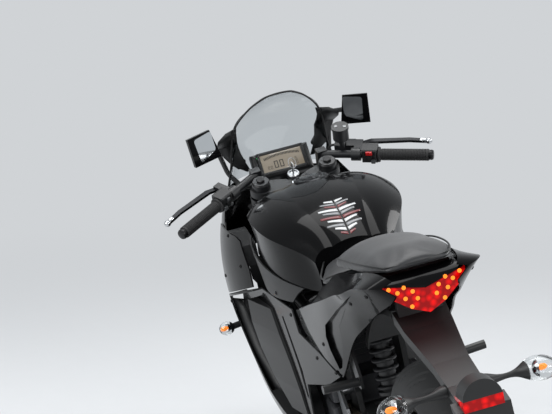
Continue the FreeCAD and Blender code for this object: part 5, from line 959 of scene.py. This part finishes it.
REAR_LENS_FROM, FRONT_LENS_FROM, PLATE_LENS_BELOW = 138, 256, 663.5
split_by_place("rear_signals", matt_plastic, clear_lens, lambda point: abs(point.y) > REAR_LENS_FROM)
split_by_place("front_signals", matt_plastic, clear_lens, lambda point: abs(point.y) > FRONT_LENS_FROM)
split_by_place("plate_lamp", matt_plastic, red_lens, lambda point: point.z < PLATE_LENS_BELOW)
bulbs = bmesh.new()
bowls = bmesh.new()
SIGNALS = (
    # bulb's place, way out, radius of the bowl
    ((-977, 158, 650), (-0.1, 1, 0), 17),
    ((528, 262, 490), (-0.2, 1, 0), 11),
)
for (x, y, z), (ahead, out, rise), bowl in SIGNALS:
    for side in (1, -1):
        start, way = (x, side * y, z), (ahead, side * out, rise)
        turned(bulbs, ((0, 3), (4, 4.5), (12, 6.5), (18, 6), (22, 4), (24, 1)), start, way, 20)
        turned(bowls, ((-7, 3), (-6, bowl * 0.5), (-2, bowl * 0.8), (4, bowl), (3, bowl * 0.92),
                       (-3, bowl * 0.5), (-4, 3)), start, way, 24)
set_in_place("signal_bulbs", bulbs, BIKE, "chassis", amber_bulb)
set_in_place("signal_bowls", bowls, BIKE, "chassis", bright_bowl)

# Headlamps: two smoked polycarbonate lenses in the nose, over black reflectors.
# A lit strip runs along the lower edge of each.

# Smoked polycarbonate: almost black, with a hard wet shine.
smoked_lens = surface("smoked_polycarbonate", "#0c0e10", "#14171a", 0.08, 8.0, 0.002, spread=0.02,
                      Coat_Weight=1.0, Coat_Roughness=0.01)
dress(smoked_lens, "headlamps")
# The light guide shows as an even cold white line.
lit_strip = lit("lit_light_guide", "#eef3ff", 1.6)
AHEAD_OF_NOSE, STRIP_START, STRIP_RUN, STRIP_RISE, STRIP_POINTS = 1200, (52, 661), 9, 1.2, 9
for side, flip in SIDES:
    spots = [on_surface("headlamps", flip @ Vector((AHEAD_OF_NOSE, STRIP_START[0] + STRIP_RUN * step,
                                                    STRIP_START[1] + STRIP_RISE * step)), (-1, 0, 0))
             for step in range(STRIP_POINTS)]
    line = [spot[0] + spot[1] * 0.6 for spot in spots if spot]
    if len(line) > 3:
        welt(f"running_light_{side}", line, 1.6, lit_strip, closed=False)

# Windscreen: an acrylic sheet 4 mm thick, bent hot, and screwed to the nose.
# A black rubber edging is pushed on all round.

# Clear acrylic with a breath of smoke: what is behind it stays plain to see, a shade darker.
screen_acrylic, screen_output = empty_material("lightly_smoked_acrylic")
screen_shader = add(screen_acrylic.node_tree, "ShaderNodeBsdfPrincipled",
                    {"Base Color": colour("#dde1e3"), "Roughness": 0.01, "Transmission Weight": 1.0,
                     "IOR": 1.14})
screen_acrylic.node_tree.links.new(screen_shader.outputs[0], screen_output.inputs["Surface"])
dress(screen_acrylic, "windscreen")
SCREEN_EDGE = (
    # x, half width, height
    (612, 158, 864), (584, 142, 920), (545, 136, 980), (504, 126, 1040), (448, 84, 1092), (412, 46, 1117),
    (401, 30, 1123),
)
SCREEN_TOP, EDGING = (405, 0, 1124), 2.6
edge = [(x - 1, half, z) for x, half, z in SCREEN_EDGE]
welt("screen_edge", edge + [SCREEN_TOP] + [(x, -half, z) for x, half, z in edge[::-1]], EDGING, moulded_rubber,
     closed=False)

# Dash: a liquid crystal panel behind a glossy cover in a moulded housing, on the fairing's stay.
# It shows a bar tachometer and plain figures, and the neutral lamp is lit beside it.

DASH = BIKE @ Matrix.Translation((560, 0, 903)) @ Matrix.Rotation(math.radians(208), 4, "Y")
panel = bmesh.new()
soft_block(panel, (2, -60, -32), (5.2, 60, 20), 1.2)
# The lit crystal is a warm grey under a clear hard shine.
crystal = surface("liquid_crystal_cover", "#6f6a60", "#7d776c", 0.12, 3.0, 0.0, Coat_Weight=1.0,
                  Emission_Color=colour("#a8957a"), Emission_Strength=0.25)
set_in_place("dash_crystal", panel, DASH, "chassis", crystal)
bezel = bmesh.new()
for low, high in (((0, -68, -40), (8, 68, -32)), ((0, -68, 20), (8, 68, 28)), ((0, -68, -40), (8, -60, 28)),
                  ((0, 60, -40), (8, 68, 28))):
    soft_block(bezel, low, high, 1.6)
for across in (-40, 40):
    soft_block(bezel, (6, across - 9, 22), (10, across + 9, 27), 1.4)
set_in_place("dash_bezel", bezel, DASH, "chassis", matt_plastic)
PRINT_AT, PRINT_THICK = 5.3, 0.3
BARS, BAR_SPACING, BAR_WIDTH, BAR_HEIGHT = 26, 4, 2.4, 7


def bar_mark(shape, left, low, wide, high):
    """Add one dark bar of the crystal's print."""
    extruded(shape, [(PRINT_AT, left, low), (PRINT_AT, left + wide, low), (PRINT_AT, left + wide, low + high),
                     (PRINT_AT, left, low + high)], (PRINT_THICK, 0, 0))


marks = bmesh.new()
middle_bar = (BARS - 1) / 2
for number in range(BARS):
    bar_mark(marks, number * BAR_SPACING - 52, 6 * ((number - middle_bar) / middle_bar) ** 2 - 28, BAR_WIDTH,
             BAR_HEIGHT)
SEGMENTS = (
    # the seven bars of a figure: across, up, length along across, length along up
    (0, 0, 10, 2.2), (0, 0, 2.2, 10), (8, 0, 2.2, 10), (0, 9, 10, 2.2), (0, 9, 2.2, 10), (8, 9, 2.2, 10),
    (0, 17, 10, 2.2),
)
FIGURES = (
    # across, down, size, bars that are dark
    (14, -8, 1.1, (0, 1, 2, 4, 5, 6)), (-2, -8, 1.1, (0, 1, 2, 4, 5, 6)), (-34, -6, 0.55, (2, 5)),
    (-42, -6, 0.55, (0, 2, 3, 4, 6)), (-34, 6, 0.5, (0, 1, 2, 4, 5, 6)), (-42, 6, 0.5, (0, 1, 2, 4, 5, 6)),
    (40, 4, 0.5, (0, 1, 2, 3, 5, 6)), (32, 4, 0.5, (0, 1, 2, 4, 5, 6)),
)
for across, down, scale, dark in FIGURES:
    for number in dark:
        left, up, wide, high = (value * scale for value in SEGMENTS[number])
        bar_mark(marks, across + left, down + up, wide, high)
# The figures are flat brownish black.
figure_black = surface("liquid_crystal_figures", "#1b1a18", "#232220", 0.3, 2.0, 0.0)
set_in_place("dash_figures", marks, DASH, "chassis", figure_black)
# The neutral lamp is one bright green point.
lamp_green = lit("lit_green_diode", "#3dff6a", 1.8)
neutral = bmesh.new()
turned(neutral, ((0, 2.4), (2, 2.4), (2.8, 1.4), (3, 0.2)), (4, 66, -28), (1, 0, 0), 16)
set_in_place("neutral_lamp", neutral, DASH, "chassis", lamp_green)

# Mirrors: silvered glass, glued into the black shells on their arms.
# Its outline has four rounded corners and is narrower at the bottom.

# Silvered glass is a clean cold mirror that shows the pale room.
mirror_glass = surface("silvered_glass", "#c9cdd0", "#d3d7da", 0.02, 20.0, 0.0, spread=0.01, Metallic=1.0)
GLASS_OUTLINE = ((-31, -18), (21, -37), (21, 31), (-34, 36))
GLASS_ROUND, GLASS_FACE, GLASS_THICK, CORNER_STEPS = 8, -1.6, 2.4, 6
GLASS_TURN = Matrix.Rotation(math.radians(12), 4, "Z") @ Matrix.Rotation(math.radians(-8), 4, "X")
GLASS_PLACE = Matrix.Translation((484, 219, 1014)) @ GLASS_TURN
for side, flip in SIDES:
    glass = bmesh.new()
    outline = []
    for number, corner in enumerate(GLASS_OUTLINE):
        before = Vector(GLASS_OUTLINE[number - 1])
        after = Vector(GLASS_OUTLINE[(number + 1) % 4])
        corner = Vector(corner)
        start = corner + (before - corner).normalized() * GLASS_ROUND
        end = corner + (after - corner).normalized() * GLASS_ROUND
        for step in range(CORNER_STEPS + 1):
            share = step / CORNER_STEPS
            point = start.lerp(corner, share).lerp(corner.lerp(end, share), share)
            outline.append((GLASS_FACE, point.x, point.y))
    extruded(glass, outline, (GLASS_THICK, 0, 0))
    set_in_place(f"mirror_glass_{side}", glass, BIKE @ flip @ GLASS_PLACE, "chassis", mirror_glass)

# Studio: a plain pale floor, painted matt, and soft light from four large lamps.
# Far from the bike the floor fades into the backdrop's tone, so no horizon shows.

BACKDROP = "#d0d3d6"
FLOOR_HALF, FADE_FROM, FADE_TO = 30, 1.2, 4.5
floor_mesh = bpy.data.meshes.new("floor")
corners = [(x * FLOOR_HALF, y * FLOOR_HALF, 0) for x, y in ((-1, -1), (1, -1), (1, 1), (-1, 1))]
floor_mesh.from_pydata(corners, [], [(0, 1, 2, 3)])
floor = bpy.data.objects.new("floor", floor_mesh)
bpy.context.scene.collection.objects.link(floor)
# Matt floor paint keeps the bike's soft shadow and shows no picture of it.
pale_floor = surface("pale_floor", "#d3d5d7", "#d8dadc", 0.6, 40.0, 0.0)
tree = pale_floor.node_tree
lit_floor = next(node for node in tree.nodes if node.type == "BSDF_PRINCIPLED")
floor_output = next(node for node in tree.nodes if node.type == "OUTPUT_MATERIAL")
place = add(tree, "ShaderNodeTexCoord")
distance = add(tree, "ShaderNodeVectorMath", None, {0: place.outputs["Object"]}, operation="LENGTH")
fade = add(tree, "ShaderNodeMapRange", {"From Min": FADE_FROM, "From Max": FADE_TO},
           {"Value": distance.outputs["Value"]}, interpolation_type="SMOOTHSTEP")
far_floor = add(tree, "ShaderNodeEmission", {"Color": colour(BACKDROP), "Strength": 1.0})
add_fade = add(tree, "ShaderNodeMixShader", None,
               {0: fade.outputs[0], 1: lit_floor.outputs[0], 2: far_floor.outputs[0]})
tree.links.new(add_fade.outputs[0], floor_output.inputs["Surface"])
floor_mesh.materials.append(pale_floor)

world = bpy.data.worlds.new("studio")
bpy.context.scene.world = world
world.use_nodes = True
sky = world.node_tree
sky.nodes.clear()
ray = add(sky, "ShaderNodeLightPath")
seen = add(sky, "ShaderNodeMath", None,
           {0: ray.outputs["Is Camera Ray"], 1: ray.outputs["Is Transmission Ray"]}, operation="MAXIMUM")
seen = add(sky, "ShaderNodeMath", None, {0: seen.outputs[0], 1: ray.outputs["Is Glossy Ray"]},
           operation="MAXIMUM")
lighting = add(sky, "ShaderNodeBackground", {"Color": colour("#e4e8ec"), "Strength": 0.5})
shown = add(sky, "ShaderNodeBackground", {"Color": colour(BACKDROP), "Strength": 1.0})
blended = add(sky, "ShaderNodeMixShader", None,
              {0: seen.outputs[0], 1: lighting.outputs[0], 2: shown.outputs[0]})
add(sky, "ShaderNodeOutputWorld", None, {"Surface": blended.outputs[0]})

LAMPS = (
    # name, place, aimed at, width, height, watts
    ("window_left", (-1.2, 3.6, 2.4), (0.1, 0, 0.7), 3.0, 1.6, 100),
    ("window_right", (0.6, -3.8, 2.6), (0.1, 0, 0.7), 3.0, 1.6, 90),
    ("ceiling", (0.6, 0.2, 4.2), (0, 0, 0.6), 2.4, 3.4, 110),
    ("behind_camera", (-4.6, -1.6, 2.8), (0, 0, 0.8), 1.8, 1.2, 60),
)
for name, place, target, width, height, watts in LAMPS:
    light = bpy.data.lights.new(name, "AREA")
    light.shape = "RECTANGLE"
    light.size = width
    light.size_y = height
    light.energy = watts
    lamp = bpy.data.objects.new(name, light)
    lamp.location = place
    lamp.rotation_euler = (Vector(target) - Vector(place)).to_track_quat("-Z", "Y").to_euler()
    bpy.context.scene.collection.objects.link(lamp)

# Camera: a long lens behind the bike's left side, a little above the seat, as in the photograph.
# Its place is measured from the rear axle, so the framing follows the bike.

AXLE_TO_CAMERA = Vector((-4.3010, 1.3736, 1.4770))
YAW, TILT, ROLL = (math.radians(angle) for angle in (-12.407, -10.279, 0.265))
FOCAL_PIXELS, PHOTO_WIDTH = 2050, 552
ahead = Vector((math.cos(TILT) * math.cos(YAW), math.cos(TILT) * math.sin(YAW), math.sin(TILT)))
right = Vector((math.sin(YAW), -math.cos(YAW), 0))
up = right.cross(ahead)
right, up = (right * math.cos(ROLL) + up * math.sin(ROLL), up * math.cos(ROLL) - right * math.sin(ROLL))
camera_data = bpy.data.cameras.new("camera")
camera = bpy.data.objects.new("camera", camera_data)
camera_data.lens = camera_data.sensor_width * FOCAL_PIXELS / PHOTO_WIDTH
axes = Matrix((right, up, -ahead)).transposed().to_4x4()
camera.matrix_world = Matrix.Translation(hinge_point("rear_wheel_spin") + AXLE_TO_CAMERA) @ axes
bpy.context.scene.collection.objects.link(camera)
bpy.context.scene.camera = camera
bpy.context.scene.view_settings.view_transform = "Standard"
